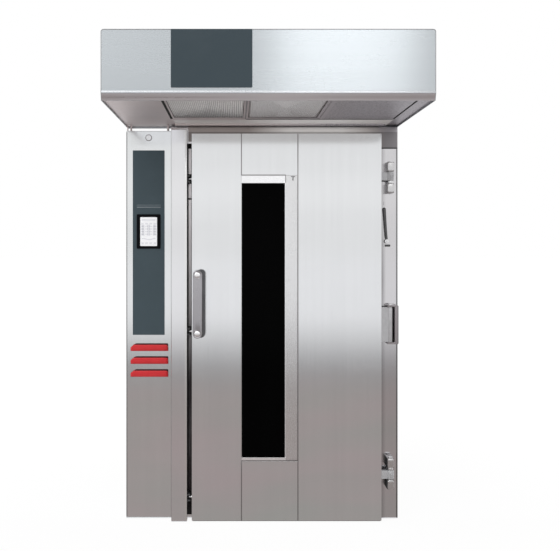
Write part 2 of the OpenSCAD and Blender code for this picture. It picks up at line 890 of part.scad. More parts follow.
module hinge_arms() {
    lug_t = 10;
    place() color("whitesmoke") {
        for (h = hinge_list()) arm(h[0] + block_h + h[1], arm_h, knuckle_r);
        arm(guard_z + lug_t + face_gap, guard_h - 2 * lug_t - 2 * face_gap, mid_knuckle_r);
    }
}

// Two lugs for the middle pin, and the guard plate beside the knuckle
module guard_bracket() {
    lug_t = 10;
    guard_l = hinge_x + mid_knuckle_r + 5;
    guard_r = guard_l + 20;
    y = [hinge_y - mid_knuckle_r, post_face];
    place() color("darkgray") {
        for (z = [guard_z, guard_z + guard_h - lug_t]) difference() {
            block([hinge_x - mid_knuckle_r, guard_l], y, [z, z + lug_t]);
            z_rod(hinge_x, hinge_y, [z - over, z + lug_t + over], pin_r + run_fit);
        }
        block([guard_l, guard_r], y, [guard_z, guard_z + guard_h]);
    }
}

// Keepers on the latch post: two plates and a back, open to the front
module latch_keepers() {
    reach = bolt_throw + 1;
    half = bolt_r + 3;
    x = [post_r, post_r + reach];
    back = bolt_y + keeper_w / 2;
    place() color("dimgray") for (z = bolt_z) {
        for (s = [z + half, z - half - keeper_t]) block(x, [bolt_y - keeper_w / 2, back], [s, s + keeper_t]);
        block(x, [bolt_y + bolt_r + 6, back], [z - half, z + half]);
    }
}

// Base plate with the hand lever's pivot, and the small stop above the grip
module lever_base() {
    place() color("dimgray") {
        front_plate([lever_x - 16, lever_x + 18], [post_face - 4, post_face],
                    [grip_z - 30, grip_z + 20], 6);
        y_rod(lever_x, [lever_y0, post_face], grip_z, lever_pin_r);
        block([lever_x - 13, lever_x + 3], [post_face - 8, post_face],
              [grip_z + grip_l + 12, grip_z + grip_l + 31]);
    }
}

// Tapered grip on a round hub
module hand_lever() {
    y = [lever_y0 + 2, post_face - 4 - face_gap];
    lean = -13;
    place() color("black") difference() {
        union() {
            y_rod(lever_x, y, grip_z, lever_hub_r);
            translate([0, y[1] - 2, 0]) rotate([90, 0, 0]) linear_extrude(16) polygon([
                [lever_x - 7, grip_z], [lever_x + 8, grip_z],
                [lever_x + lean + 12, grip_z + grip_l], [lever_x + lean - 10, grip_z + grip_l]
            ]);
        }
        y_rod(lever_x, [y[0] - over, y[1] + over], grip_z, lever_pin_r + run_fit);
    }
}

// The hood's body, drawn in by one sheet thickness for its inside
module hood_body(inset) {
    front = -hood_out + inset;
    back = hood_seat - inset;
    low = roof_h - (inset > 0 ? over : 0);
    intersection() {
        translate([hood_l + inset, 0, 0]) rotate([90, 0, 90]) linear_extrude(hood_w - 2 * inset) polygon([
            [front, roof_h + hem_h], [front, hood_top - inset], [back, hood_top - inset],
            [back, low], [front + hem_d, low]
        ]);
        translate([0, back, 0]) rotate([90, 0, 0]) linear_extrude(back - front) {
            r = hood_r - inset;
            round_outline([hood_l + inset, hood_right - inset], [low, hood_top - inset], r);
            translate([hood_l + inset, low]) square([hood_w - 2 * inset, hood_h / 2]);
        }
    }
}

module hood_shell() {
    place() color("whitesmoke") difference() {
        hood_body(0);
        hood_body(skin_t);
        z_rod(hood_fan_x, hood_fan_y, [hood_top - skin_t - over, hood_top + over],
              spigot_r + neck_t + hole_gap);
    }
}

// Underside with openings for two cassettes, a plain third panel, a drip rail and the posts
module hood_underside() {
    z = [underside_z, underside_z + skin_t];
    rail_t = 3;
    post_y = 12;
    blank_x = filter_x0 + 2 * filter_w;
    place() color("darkgray") {
        difference() {
            block([hood_l + skin_t, hood_right - skin_t], [-hood_out + skin_t + hem_d, hood_seat - skin_t], z);
            for (i = [0, 1]) {
                x = filter_x0 + i * filter_w;
                block([x + ledge, x + filter_w - ledge], [filter_y0 + ledge, filter_y0 + filter_l - ledge],
                      [z[0] - over, z[1] + over]);
            }
        }
        for (i = [0 : 2]) {
            x = filter_x0 + i * filter_w;
            block([x - rail_t / 2, x + rail_t / 2], [filter_y0, filter_y0 + filter_l], [z[0], z[1] + filter_t]);
        }
        block([blank_x + 4, blank_x + filter_w - 4], [filter_y0, filter_y0 + filter_l], [z[0] - 3, z[0]]);
        block([filter_x0, blank_x + filter_w], [-60, -20], [roof_h + 1, z[0]]);
        for (p = [[hood_l + 6, 3.5], [hood_l + 24.5, 5], [block_l - 17, 6]]) {
            z_rod(p[0], post_y, [bay_h, z[0]], p[1]);
        }
    }
}

// Bare plate on the hood's front
module sign_plate() {
    x = hood_l + sign_x;
    place() color("darkslategray") {
        front_plate([x, x + sign_w], [-hood_out - sign_t, -hood_out], [hood_top - 1 - sign_h, hood_top - 1], 4);
    }
}

// Housing with the fan's motor, and the duct spigot through the hood's top
module hood_fan_housing() {
    z0 = underside_z + skin_t;
    shell_r = spigot_r + 5;
    bore_r = spigot_r - 3;
    floor_top = z0 + 20;
    place() color("darkgray") difference() {
        union() {
            difference() {
                union() {
                    z_rod(hood_fan_x, hood_fan_y, [z0, hood_top - skin_t], shell_r);
                    z_rod(hood_fan_x, hood_fan_y, [z0, spigot_z], spigot_r + neck_t);
                    z_rod(hood_fan_x, hood_fan_y, [spigot_z, spigot_top], spigot_r);
                }
                z_rod(hood_fan_x, hood_fan_y, [floor_top, spigot_top + over], bore_r);
                block([hood_fan_x, hood_fan_x + shell_r + over], [hood_fan_y - 55, hood_fan_y + 55],
                      [floor_top + 20, floor_top + 140]);
            }
            z_rod(hood_fan_x, hood_fan_y, [z0, floor_top + 60], 45);
        }
        z_rod(hood_fan_x, hood_fan_y, [floor_top, floor_top + 60 + over], 8 + run_fit);
    }
}

module hood_fan_wheel() {
    plate_z = underside_z + skin_t + 20 + 66;
    blades = 10;
    blade_h = 55;
    place() color("gainsboro") {
        z_rod(hood_fan_x, hood_fan_y, [plate_z - 60, plate_z + 30], 8);
        z_rod(hood_fan_x, hood_fan_y, [plate_z, plate_z + 25], 20);
        z_rod(hood_fan_x, hood_fan_y, [plate_z, plate_z + 3], hood_fan_r);
        for (a = [0 : 360 / blades : 359]) {
            translate([hood_fan_x, hood_fan_y, plate_z]) rotate([0, 0, a]) translate([45, 0, 0]) {
                rotate([0, 0, 35]) translate([0, -1, 0]) cube([hood_fan_r - 52, 2, blade_h]);
            }
        }
    }
}

// Grease filter cassette: a frame with ribs across its opening, and an air slot between the ribs
module filter_cassette(i) {
    x = filter_x0 + i * filter_w;
    side = 2.5;
    frame = 14;
    z = [underside_z + skin_t, underside_z + skin_t + filter_t];
    xs = [x + side, x + filter_w - side];
    ys = [filter_y0, filter_y0 + filter_l];
    rib_w = 8;
    ribs = 15;
    step = (xs[1] - xs[0] - 2 * frame) / ribs;
    place() difference() {
        block(xs, ys, z);
        for (k = [0 : ribs - 1]) {
            rx = xs[0] + frame + (k + 0.5) * step;
            pocket = (step - rib_w) / 2;
            block([rx - pocket, rx + pocket], [ys[0] + frame, ys[1] - frame], [z[0] - over, z[1] - 4]);
            block([rx - pocket / 2, rx + pocket / 2], [ys[0] + 2 * frame, ys[1] - 2 * frame],
                  [z[0], z[1] + over]);
        }
    }
}

module filter_left() {
    color("silver") filter_cassette(0);
}

module filter_middle() {
    color("silver") filter_cassette(1);
}

// Box behind the column's door, with its pivot holes and the lock's lip
module control_cabinet() {
    z = [case_foot, bay_h - case_lid - face_gap];
    pivot = [body_l + leaf_pin_in, leaf_pin_in];
    place() color("silver") difference() {
        union() {
            block([body_l, block_l], [0, case_d], [0, case_foot]);
            block([body_l, block_l], [0, case_d], [bay_h - case_lid, bay_h]);
            block([body_l, body_l + skin_t], [case_front, case_d], z);
            block([block_l - skin_t, block_l], [case_front, case_d], z);
            block([body_l, block_l], [case_d - skin_t, case_d], z);
            block([body_l + 30, block_l - 30], [case_front, case_front + skin_t],
                  [bay_h - case_lid - lip_drop, z[1]]);
        }
        z_rod(pivot[0], pivot[1], [-over, case_foot + over], leaf_pin_r + run_fit);
        z_rod(pivot[0], pivot[1], [bay_h - case_lid - over, bay_h + over], leaf_pin_r + run_fit);
        z_rod(column_x, case_d - gland_back, [bay_h - case_lid - over, bay_h + over], 16 + run_fit);
    }
}

// Mounting plate with rails, contactors, terminals and the drive
module switchgear() {
    plate_t = 4;
    rail_w = plate_w - 10;
    rail_h = 35;
    first_z = plate_z + rail_foot;
    x0 = column_x - rail_w / 2;
    back = case_d - skin_t - plate_t;
    rail_y = back - 8;
    contactors = 4;
    terminals = 18;
    contactor_w = rail_w / contactors;
    terminal_w = rail_w / terminals;
    place() color("darkgray") {
        block([column_x - plate_w / 2, column_x + plate_w / 2], [back, back + plate_t], [plate_z, plate_z + plate_h]);
        for (i = [0 : 3]) {
            block([x0, x0 + rail_w], [rail_y, back], [0, rail_h] + (first_z + i * rail_pitch) * [1, 1]);
        }
        for (k = [1, 2], i = [0 : contactors - 1]) {
            block([x0 + i * contactor_w + 1, x0 + (i + 1) * contactor_w - 1], [rail_y - 83, rail_y],
                  [-25, 60] + (first_z + k * rail_pitch) * [1, 1]);
        }
        for (i = [0 : terminals - 1]) {
            block([x0 + i * terminal_w + 1, x0 + (i + 1) * terminal_w - 1], [rail_y - 48, rail_y],
                  [first_z - 10, first_z + 45]);
        }
        block([x0 + 5, x0 + rail_w - 5], [rail_y - 98, rail_y], [-40, 80] + (first_z + 3 * rail_pitch) * [1, 1]);
    }
}

// Gland for the supply cable in the column's roof
module cable_gland() {
    place() color("dimgray") translate([column_x, case_d - gland_back, 0]) difference() {
        union() {
            translate([0, 0, bay_h - 20]) cylinder(h = 44, r = 16);
            translate([0, 0, bay_h]) cylinder(h = 8, r = 21, $fn = 6);
            translate([0, 0, bay_h - case_lid - 8]) cylinder(h = 8, r = 21, $fn = 6);
        }
        translate([0, 0, bay_h - 20 - over]) cylinder(h = 44 + 2 * over, r = 9);
    }
}

// Room for the touchscreen's body through the overlay and the column's door
module screen_hole(y, gap) {
    half = screen_w / 2 - 7 + gap;
    block([screen_x - half, screen_x + half], y, [screen_z + 9 - gap, screen_z + screen_h - 9 + gap]);
}

// Folded door of the control column, with pivots at its left edge
module control_door() {
    x = [body_l + 0.5, block_l - 0.5];
    t = skin_t;
    pivot = [body_l + leaf_pin_in, leaf_pin_in];
    place() color("whitesmoke") difference() {
        union() {
            difference() {
                block(x, [0, leaf_t], [leaf_z0, leaf_top]);
                block([x[0] + t, x[1] - t], [t, leaf_t + over], [leaf_z0 + t, leaf_top - t]);
            }
            z_rod(pivot[0], pivot[1], [leaf_top - t, leaf_top + case_lid], leaf_pin_r);
            z_rod(pivot[0], pivot[1], [1, leaf_z0 + t], leaf_pin_r);
        }
        screen_hole([-over, t + over], 0.5);
        y_rod(lock_x, [-over, t + over], lock_z, 8 + run_fit);
        for (i = [0 : 2]) {
            z = louvre_z + i * louvre_pitch;
            block([column_x - 80, column_x + 80], [-over, t + over], [z - 6, z + 6]);
        }
    }
}

module control_overlay() {
    x = [column_x - overlay_w / 2, column_x + overlay_w / 2];
    place() color("darkslategray") difference() {
        front_plate(x, [-overlay_t, 0], [overlay_z, overlay_z + overlay_h], 3);
        screen_hole([-overlay_t - over, over], 0.5);
    }
}

module touchscreen() {
    half = screen_w / 2;
    place() color("black") {
        front_plate([screen_x - half, screen_x + half], [-overlay_t - 3.5, -overlay_t],
                    [screen_z, screen_z + screen_h], 4);
        screen_hole([-overlay_t, 42], 0);
    }
}

// Three hooded louvres, each a hollow half capsule with a slit along its top
module vent_louvres() {
    half = louvre_w / 2 - louvre_r;
    wall = 2.5;
    place() color("crimson") for (i = [0 : 2]) translate([column_x, 0, louvre_z + i * louvre_pitch]) {
        difference() {
            union() {
                x_rod([-half, half], 0, 0, louvre_r);
                for (s = [-half, half]) translate([s, 0, 0]) sphere(r = louvre_r);
            }
            x_rod([-half, half], 0, 0, louvre_r - wall);
            for (s = [-half, half]) translate([s, 0, 0]) sphere(r = louvre_r - wall);
            block([-louvre_w, louvre_w], [0, louvre_r + over], [-louvre_r - over, louvre_r + over]);
            block([-half, half], [-louvre_r / 2, over], [0, louvre_r + over]);
        }
    }
}

// Quarter-turn lock: head, stem and cam
module cabinet_lock() {
    cam_y = case_front + 2.5;
    place() color("silver") {
        difference() {
            y_rod(lock_x, [-4, 0], lock_z, 14);
            block([lock_x - 1.5, lock_x + 1.5], [-4 - over, -2], [lock_z - 8, lock_z + 8]);
        }
        y_rod(lock_x, [-1, cam_y + 3], lock_z, 8);
        block([lock_x - 7, lock_x + 28], [cam_y, cam_y + 3], [lock_z - 7, lock_z + 7]);
    }
}

// Front sheets of the door, with the handle's spindle hole
module door_left_panel() {
    place() color("whitesmoke") difference() {
        block([door_l, seam_1 - seam_w / 2], [door_front, core_front], [door_z0, door_top]);
        y_rod(handle_x, [door_front - over, core_front + over], handle_z, spindle_r + run_fit);
    }
}

module door_middle_panels() {
    x = [seam_1 + seam_w / 2, seam_2 - seam_w / 2];
    place() color("whitesmoke") {
        block(x, [door_front, core_front], [door_z0, glass_z - sill_h - 1]);
        block(x, [door_front, core_front], [glass_top + strip_h + 1, door_top]);
    }
}

module door_right_panel() {
    place() color("whitesmoke") {
        block([seam_2 + seam_w / 2, door_r], [door_front, core_front], [door_z0, door_top]);
    }
}

// Seats of the two panes in the core
module pane(y, gap) {
    block([glass_l - gap, glass_r + gap], y, [glass_z - gap, glass_top + gap]);
}

// Insulated core with its plug, and the pockets for the panes, lamp, latch and handle
module door_core() {
    pane_y = door_front + pane_recess;
    bar_pocket = [bar_x - 2, bar_x + bar_w + bolt_throw + 2];
    place() color("silver") difference() {
        union() {
            block([door_l, door_r], [core_front, door_back], [door_z0 + 2, door_top - 2]);
            block([open_l + plug_clear, open_r - plug_clear], [door_back, plug_depth],
                  [pan_t + 8, doorway_h - plug_clear]);
        }
        block([glass_l + pane_seat, glass_r - pane_seat], [core_front - over, plug_depth + over],
              [glass_z + pane_seat, glass_top - pane_seat]);
        pane([core_front - over, pane_y + pane_t], 0);
        pane([plug_depth - pane_t, plug_depth + over], 0);
        block([lamp_l_x + 4, lamp_r_x - 4], [core_front - over, core_front + 40],
              [lamp_z - lamp_l / 2 - 50, lamp_z + lamp_l / 2 + 50]);
        block(bar_pocket, [bolt_y - bolt_r - 2, bolt_y + bolt_r + 2],
              [low_bolt_z - bolt_r - 6, top_bolt_z + bolt_r + 6]);
        for (z = bolt_z) x_rod([door_l - over, bar_x], bolt_y, z, bolt_r + run_fit);
        y_rod(handle_x, [core_front - over, core_front + 12], handle_z, 21);
    }
}

module window_panes() {
    pane_y = door_front + pane_recess;
    place() color("black") {
        pane([pane_y, pane_y + pane_t], 0);
        pane([plug_depth - pane_t, plug_depth], 0);
    }
}

// Strip over the glass, sill under it, and the mullion beside it
module window_trim() {
    y = [door_front, core_front];
    place() color("white") {
        block([glass_l, lamp_l_x], y, [glass_top, glass_top + strip_h]);
        block([glass_l, lamp_l_x], y, [glass_z - sill_h, glass_z]);
        block([glass_r, lamp_l_x], [door_front + 1, core_front], [glass_z, glass_top]);
    }
}

// Cover strip with fine upright ribs
module lamp_cover() {
    z = [glass_z - sill_h, glass_top + strip_h];
    base_t = 3;
    rib_w = rib_pitch / 2;
    place() color("gainsboro") {
        block([lamp_l_x, lamp_r_x], [core_front - base_t, core_front], z);
        for (x = [lamp_l_x + rib_w : rib_pitch : lamp_r_x - rib_w]) {
            block([x, x + rib_w], [door_front + 1, core_front - base_t + 0.5], z);
        }
    }
}

// Tube lamp in the core, on two sockets
module door_lamp() {
    x = (lamp_l_x + lamp_r_x) / 2;
    y = core_front + 22;
    place() color("white") {
        z_rod(x, y, [lamp_z - lamp_l / 2, lamp_z + lamp_l / 2], lamp_r);
        for (z = [lamp_z - lamp_l / 2, lamp_z + lamp_l / 2]) {
            block([x - lamp_r - 3, x + lamp_r + 3], [y - lamp_r - 3, core_front + 40], [z - 20, z + 20]);
        }
    }
}

module door_sweep() {
    place() color("black") {
        block([door_l + 4, door_r - 4], [core_front + 4, door_back - 6], [1, door_z0 + 2]);
    }
}

// Long lever with round ends, its hub, end caps, spindle and cam disc
module handle_lever() {
    half = handle_w / 2;
    top_z = handle_z + handle_l - handle_w;
    bar_y = [handle_front, handle_front + handle_t];
    hub_y = [handle_front + handle_t, door_front - face_gap];
    place() color("whitesmoke") {
        block([handle_x - half, handle_x + half], bar_y, [handle_z, top_z]);
        for (z = [handle_z, top_z]) y_rod(handle_x, bar_y, z, half);
        y_rod(handle_x, hub_y, handle_z, 20);
        y_rod(handle_x, hub_y, top_z, 12);
        for (z = [handle_z, top_z]) y_rod(handle_x, [handle_front - 2, handle_front], z, 17);
        y_rod(handle_x, [hub_y[0], core_front + 10], handle_z, spindle_r);
        y_rod(handle_x, [core_front + 1, core_front + 10], handle_z, 20);
    }
}

// Bar inside the door's latch edge with three bolts screwed to its side
module latch_bar() {
    place() color("silver") {
        block([bar_x, bar_x + bar_w], [bolt_y - bolt_r, bolt_y + bolt_r],
              [low_bolt_z - bolt_r - 4, top_bolt_z + bolt_r + 4]);
        for (z = bolt_z) x_rod([door_l - bolt_throw, bar_x - face_gap], bolt_y, z, bolt_r);
    }
}

base_frame();
floor_pan();
left_wall();
right_liner();
rear_liner();
ceiling_liner();
wall_insulation();
left_side_panel();
right_side_panel();
rear_panel();
roof_panel();
door_frame();
latch_post();
hinge_post();
header_panel();
door_gasket();
air_panel();
heater_bank();
fan_motor();
fan_wheel();
steam_generator();
water_pipe();
vapour_stack();
damper_flap();
lift_guide();
lift_gearbox();
rack_carrier();
hinge_blocks();
hinge_pins();
hinge_arms();
guard_bracket();
latch_keepers();
lever_base();
hand_lever();
hood_shell();
hood_underside();
sign_plate();
hood_fan_housing();
hood_fan_wheel();
filter_left();
filter_middle();
control_cabinet();
switchgear();
cable_gland();
control_door();
control_overlay();
touchscreen();
vent_louvres();
cabinet_lock();
door_left_panel();
door_middle_panels();
door_right_panel();
door_core();
window_panes();
window_trim();
lamp_cover();
door_lamp();
door_sweep();
handle_lever();
latch_bar();
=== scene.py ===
import math

import bmesh
import bpy
import numpy as np
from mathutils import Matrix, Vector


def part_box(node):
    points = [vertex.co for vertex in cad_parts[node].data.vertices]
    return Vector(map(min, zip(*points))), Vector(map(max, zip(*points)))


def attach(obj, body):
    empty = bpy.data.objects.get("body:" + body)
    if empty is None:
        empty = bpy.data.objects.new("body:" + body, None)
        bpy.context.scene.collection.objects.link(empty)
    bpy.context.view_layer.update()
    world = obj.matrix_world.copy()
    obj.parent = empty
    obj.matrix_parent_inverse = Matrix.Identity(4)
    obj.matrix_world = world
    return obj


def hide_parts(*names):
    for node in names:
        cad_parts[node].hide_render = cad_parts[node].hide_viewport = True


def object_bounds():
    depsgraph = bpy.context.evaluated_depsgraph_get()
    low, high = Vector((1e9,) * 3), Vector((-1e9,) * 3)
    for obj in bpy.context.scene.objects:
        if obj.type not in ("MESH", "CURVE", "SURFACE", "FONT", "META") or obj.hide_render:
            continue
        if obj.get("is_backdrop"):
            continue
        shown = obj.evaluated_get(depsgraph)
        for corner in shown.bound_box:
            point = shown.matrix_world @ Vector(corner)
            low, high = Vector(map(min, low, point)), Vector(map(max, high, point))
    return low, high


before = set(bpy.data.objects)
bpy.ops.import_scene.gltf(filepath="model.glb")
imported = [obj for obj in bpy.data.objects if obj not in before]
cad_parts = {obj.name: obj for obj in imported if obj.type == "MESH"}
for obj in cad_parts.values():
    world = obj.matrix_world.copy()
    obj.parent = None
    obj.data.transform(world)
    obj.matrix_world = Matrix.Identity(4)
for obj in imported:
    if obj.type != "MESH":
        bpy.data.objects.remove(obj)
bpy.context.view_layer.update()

# Studio.
# A plain pale floor under an even white surround. The floor is white paper. A warm grey glow that fades with the
# distance lies on it before the oven, and a pale card hangs under the hood, facing down. Only steel mirrors them.


class Term:
    """A number that varies over a surface. Each operator adds one Math node to the tree it belongs to."""

    def __init__(self, tree, socket):
        self.tree, self.socket = tree, socket

    def maths(self, operation, *values):
        return self.tree.node("Math", {"operation": operation}, dict(enumerate(values)))

    def __add__(self, other):
        return self.maths("ADD", self, other)

    def __mul__(self, other):
        return self.maths("MULTIPLY", self, other)

    def __sub__(self, other):
        return self.maths("SUBTRACT", self, other)

    def __rsub__(self, other):
        return self.maths("SUBTRACT", other, self)

    def __truediv__(self, other):
        return self.maths("DIVIDE", self, other)

    def __pow__(self, other):
        return self.maths("POWER", self, other)

    def __gt__(self, other):
        return self.maths("GREATER_THAN", self, other)

    def __lt__(self, other):
        return self.maths("LESS_THAN", self, other)

    def __abs__(self):
        return self.maths("ABSOLUTE", self)

    def repeat(self, pitch):
        return self.maths("FLOORED_MODULO", self, pitch)

    def sine(self):
        return self.maths("SINE", self)

    def clamped(self):
        return self.maths("MINIMUM", self.maths("MAXIMUM", self, 0.0), 1.0)

    __radd__ = __add__
    __rmul__ = __mul__


class Tree:
    """The nodes of a material or of the world, emptied first."""

    def __init__(self, owner):
        owner.use_nodes = True
        self.tree = owner.node_tree
        self.tree.nodes.clear()

    def feed(self, socket, value):
        if isinstance(value, Term):
            self.tree.links.new(value.socket, socket)
        elif isinstance(value, (tuple, list)) and len(value) == 3 and len(socket.default_value) == 4:
            socket.default_value = (*value, 1.0)
        else:
            socket.default_value = value

    def node(self, kind, settings=None, sockets=None, output=0):
        """Adds a node, sets its settings first and then its sockets, and returns one of its outputs."""
        made = self.tree.nodes.new("ShaderNode" + kind)
        for key, value in (settings or {}).items():
            if key == "stops":
                ramp = made.color_ramp
                for place, colour in value[2:]:
                    ramp.elements.new(place)
                for element, (place, colour) in zip(ramp.elements, value):
                    element.position, element.color = place, (*colour, 1.0)
            else:
                setattr(made, key, value)
        for key, value in (sockets or {}).items():
            self.feed(made.inputs[key], value)
        return Term(self, made.outputs[output])

    def place(self, scale=(1, 1, 1), origin=(0, 0, 0)):
        """The point on the piece, stretched and moved by a Mapping node."""
        point = self.node("TexCoord", output="Object")
        return self.node("Mapping", None, {"Vector": point, "Scale": scale, "Location": origin})

    def noise(self, place, scale=1.0, detail=3.0, rough=0.5):
        return self.node("TexNoise", None, {"Vector": place, "Scale": scale, "Detail": detail, "Roughness": rough})

    def mix(self, amount, first, second):
        """A colour between two colours."""
        return self.node("Mix", {"data_type": "RGBA"}, {0: amount, 6: first, 7: second}, 2)

    def axis(self, vector, letter):
        return self.node("SeparateXYZ", None, {"Vector": vector}, letter)


class Paint(Tree):
    """A material under construction: a Principled shader, and the nodes that feed it."""

    def __init__(self, name, **constants):
        self.material = bpy.data.materials.new(name)
        super().__init__(self.material)
        output = self.tree.nodes.new("ShaderNodeOutputMaterial")
        self.shader = self.tree.nodes.new("ShaderNodeBsdfPrincipled")
        self.tree.links.new(self.shader.outputs[0], output.inputs["Surface"])
        self.set(**constants)

    def set(self, **sockets):
        """Sets the Principled shader's sockets: base_color becomes Base Color."""
        for key, value in sockets.items():
            label = " ".join(word.upper() if word == "ior" else word.capitalize() for word in key.split("_"))
            self.feed(self.shader.inputs[label], value)
        return self

    def bump(self, height, distance, strength=1.0):
        normal = self.node("Bump", None, {"Height": height, "Distance": distance, "Strength": strength})
        return self.set(normal=normal)


def stage_plane(name, x, y, z, paint):
    """A level rectangle: its corners are the ends of the two ranges, at one height."""
    mesh = bpy.data.meshes.new(name)
    mesh.from_pydata([(x[0], y[0], z), (x[1], y[0], z), (x[1], y[1], z), (x[0], y[1], z)], [], [(0, 1, 2, 3)])
    plane = bpy.data.objects.new(name, mesh)
    bpy.context.scene.collection.objects.link(plane)
    mesh.materials.append(paint.material)
    plane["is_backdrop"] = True
    return plane


paper = Paint("floor paper", roughness=0.9, specular_ior_level=0.1, emission_strength=1.0)
speck = paper.noise(paper.place(), 3.0)
reach = paper.node("VectorMath", {"operation": "LENGTH"}, {0: paper.node("TexCoord", output="Object")}, 1)
camera_ray = paper.node("LightPath", output="Is Camera Ray")
glossy_ray = paper.node("LightPath", output="Is Glossy Ray")
white_share = (camera_ray + glossy_ray).clamped() * (((reach - 1.2) / 3.0).clamped() * 0.08 + 0.92)
sheet = paper.mix(speck, (0.88, 0.88, 0.88), (0.91, 0.91, 0.91))
mirrored = paper.mix(glossy_ray, (1.0, 1.0, 1.0), (0.94, 0.94, 0.95))
paper.set(base_color=paper.mix(white_share, sheet, (0.0, 0.0, 0.0)),
          emission_color=paper.mix(white_share, (0.0, 0.0, 0.0), mirrored))
stage_plane("floor", (-60, 60), (-60, 60), 0.0, paper)

card_paint = Paint("warm grey card", base_color=(0.0, 0.0, 0.0), roughness=1.0, specular_ior_level=0.0,
                   emission_strength=1.0)
patch = card_paint.noise(card_paint.place(), 1.1)
tint = card_paint.mix(((patch - 0.35) * 3.3).clamped(), (0.43, 0.365, 0.36), (0.38, 0.365, 0.345))
tint = card_paint.mix((card_paint.axis(card_paint.place(), "Y") * 0.5 + 2.9).clamped(), (0.378, 0.372, 0.374), tint)
nearness = (4.0 - card_paint.axis(card_paint.place(), "Y")) ** -1.0 * 25.0 - 1.62
card_paint.set(emission_color=tint, alpha=nearness.clamped())
card = stage_plane("card", (-14.0, 14.0), (-16.0, -0.305), 0.004, card_paint)
soft_paint = Paint("pale card", base_color=(0.0, 0.0, 0.0), roughness=1.0, specular_ior_level=0.0,
                   emission_strength=1.0, alpha=0.0)
leftward = ((soft_paint.axis(soft_paint.place(), "X") + 0.40) * -12.0).clamped()
soft_paint.set(emission_color=soft_paint.mix(leftward, (0.56, 0.545, 0.54), (0.88, 0.88, 0.90)),
               alpha=soft_paint.node("NewGeometry", output="Backfacing"))
soft_card = stage_plane("pale_card", (-0.70, 0.70), (-1.13, -0.40), 2.0865, soft_paint)
for unseen in (card, soft_card):
    unseen.visible_camera = unseen.visible_diffuse = unseen.visible_shadow = unseen.visible_transmission = False

world = bpy.data.worlds.new("surround")
bpy.context.scene.world = world
surround = Tree(world)
seen, reflected, through = (surround.node("LightPath", output=f"Is {kind} Ray")
                            for kind in ("Camera", "Glossy", "Transmission"))
strength = (seen + reflected + through).clamped() * 0.28 + 0.72
tones = [(0.0, 0.935), (0.030, 0.945), (0.046, 1.03), (0.066, 1.03), (0.090, 0.94), (1.0, 0.96)]
sky_height = surround.axis(surround.node("TexCoord", output="Generated"), "Z")
stops = [(spot, (tone, tone, tone)) for spot, tone in tones]
light_box = surround.node("ValToRGB", {"stops": stops}, {"Fac": sky_height})
box_share = surround.node("Mix", {"data_type": "FLOAT"}, {0: reflected, 2: 1.0, 3: light_box})
glow = surround.node("Background", None, {"Color": (1.0, 1.0, 1.0), "Strength": box_share * strength})
surround.feed(surround.tree.nodes.new("ShaderNodeOutputWorld").inputs["Surface"], glow)


def lamp(name, kind, energy, place, aim, **settings):
    """A lamp at a place, turned so that it shines towards its aim."""
    data = bpy.data.lights.new(name, kind)
    data.energy = energy
    for key, value in settings.items():
        setattr(data, key, value)
    made = bpy.data.objects.new(name, data)
    bpy.context.scene.collection.objects.link(made)
    made.location = place
    away = made.location - type(made.location)(aim)
    made.rotation_mode = "QUATERNION"
    made.rotation_quaternion = away.to_track_quat("Z", "Y")
    return made


lamp("sun", "SUN", 0.95, (-3, -5, 8), (0, 0, 1), angle=math.radians(50))
lamp("strip", "AREA", 13.5, (0.98, -6.0, 3.75), (0.3, -1.1, 2.3), shape="RECTANGLE", size=1.4, size_y=1.5)

view = bpy.data.cameras.new("camera")
view.lens = 53.23
view.sensor_width = 36.0
view.shift_x = 45 / 560
view.shift_y = -35.5 / 560
camera = bpy.data.objects.new("camera", view)
bpy.context.scene.collection.objects.link(camera)
camera.location = (-0.144, -4.7205, 1.485)
camera.rotation_euler = (math.pi / 2, 0, 0)
bpy.context.scene.camera = camera
bpy.context.scene.view_settings.view_transform = "Standard"

# Base rails and floor pan.
# Painted steel rails carry the insulated walls, and a plain stainless pan lies between them on the building's floor,
# with a tongue through the doorway for the trolley's wheels.


def dress(paint, *nodes, edge=0.0):
    """Gives CAD nodes a material, and rounds their sharp edges by so many metres."""
    for name in nodes:
        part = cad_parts[name]
        part.data.materials.clear()
        part.data.materials.append(paint.material)
        if edge:
            weld = part.modifiers.new("weld", "WELD")
            weld.merge_threshold = 0.00002
            bevel = part.modifiers.new("edge", "BEVEL")
            bevel.width, bevel.segments, bevel.limit_method = edge, 2, "ANGLE"
            bevel.angle_limit = math.radians(40)
            bevel.harden_normals = True


def painted(name, colour, worn, rough=0.55, grain=900.0, depth=0.0002):
    """Sprayed paint: fine orange peel, and cloudy patches where it has dulled and rubbed thin."""
    paint = Paint(name, specular_ior_level=0.5)
    clouds = paint.noise(paint.place(), 9.0, 4.0, 0.6)
    peel = paint.noise(paint.place(), grain, 2.0)
    patch = ((clouds - 0.52) * 5.0).clamped()
    paint.set(base_color=paint.mix(patch * 0.6, colour, worn), roughness=rough + clouds * 0.15 - 0.08)
    return paint.bump(peel, depth, 0.5)


rail_paint = painted("dark rail paint", (0.045, 0.045, 0.048), (0.10, 0.095, 0.09))
dress(rail_paint, "base_frame", edge=0.0015)


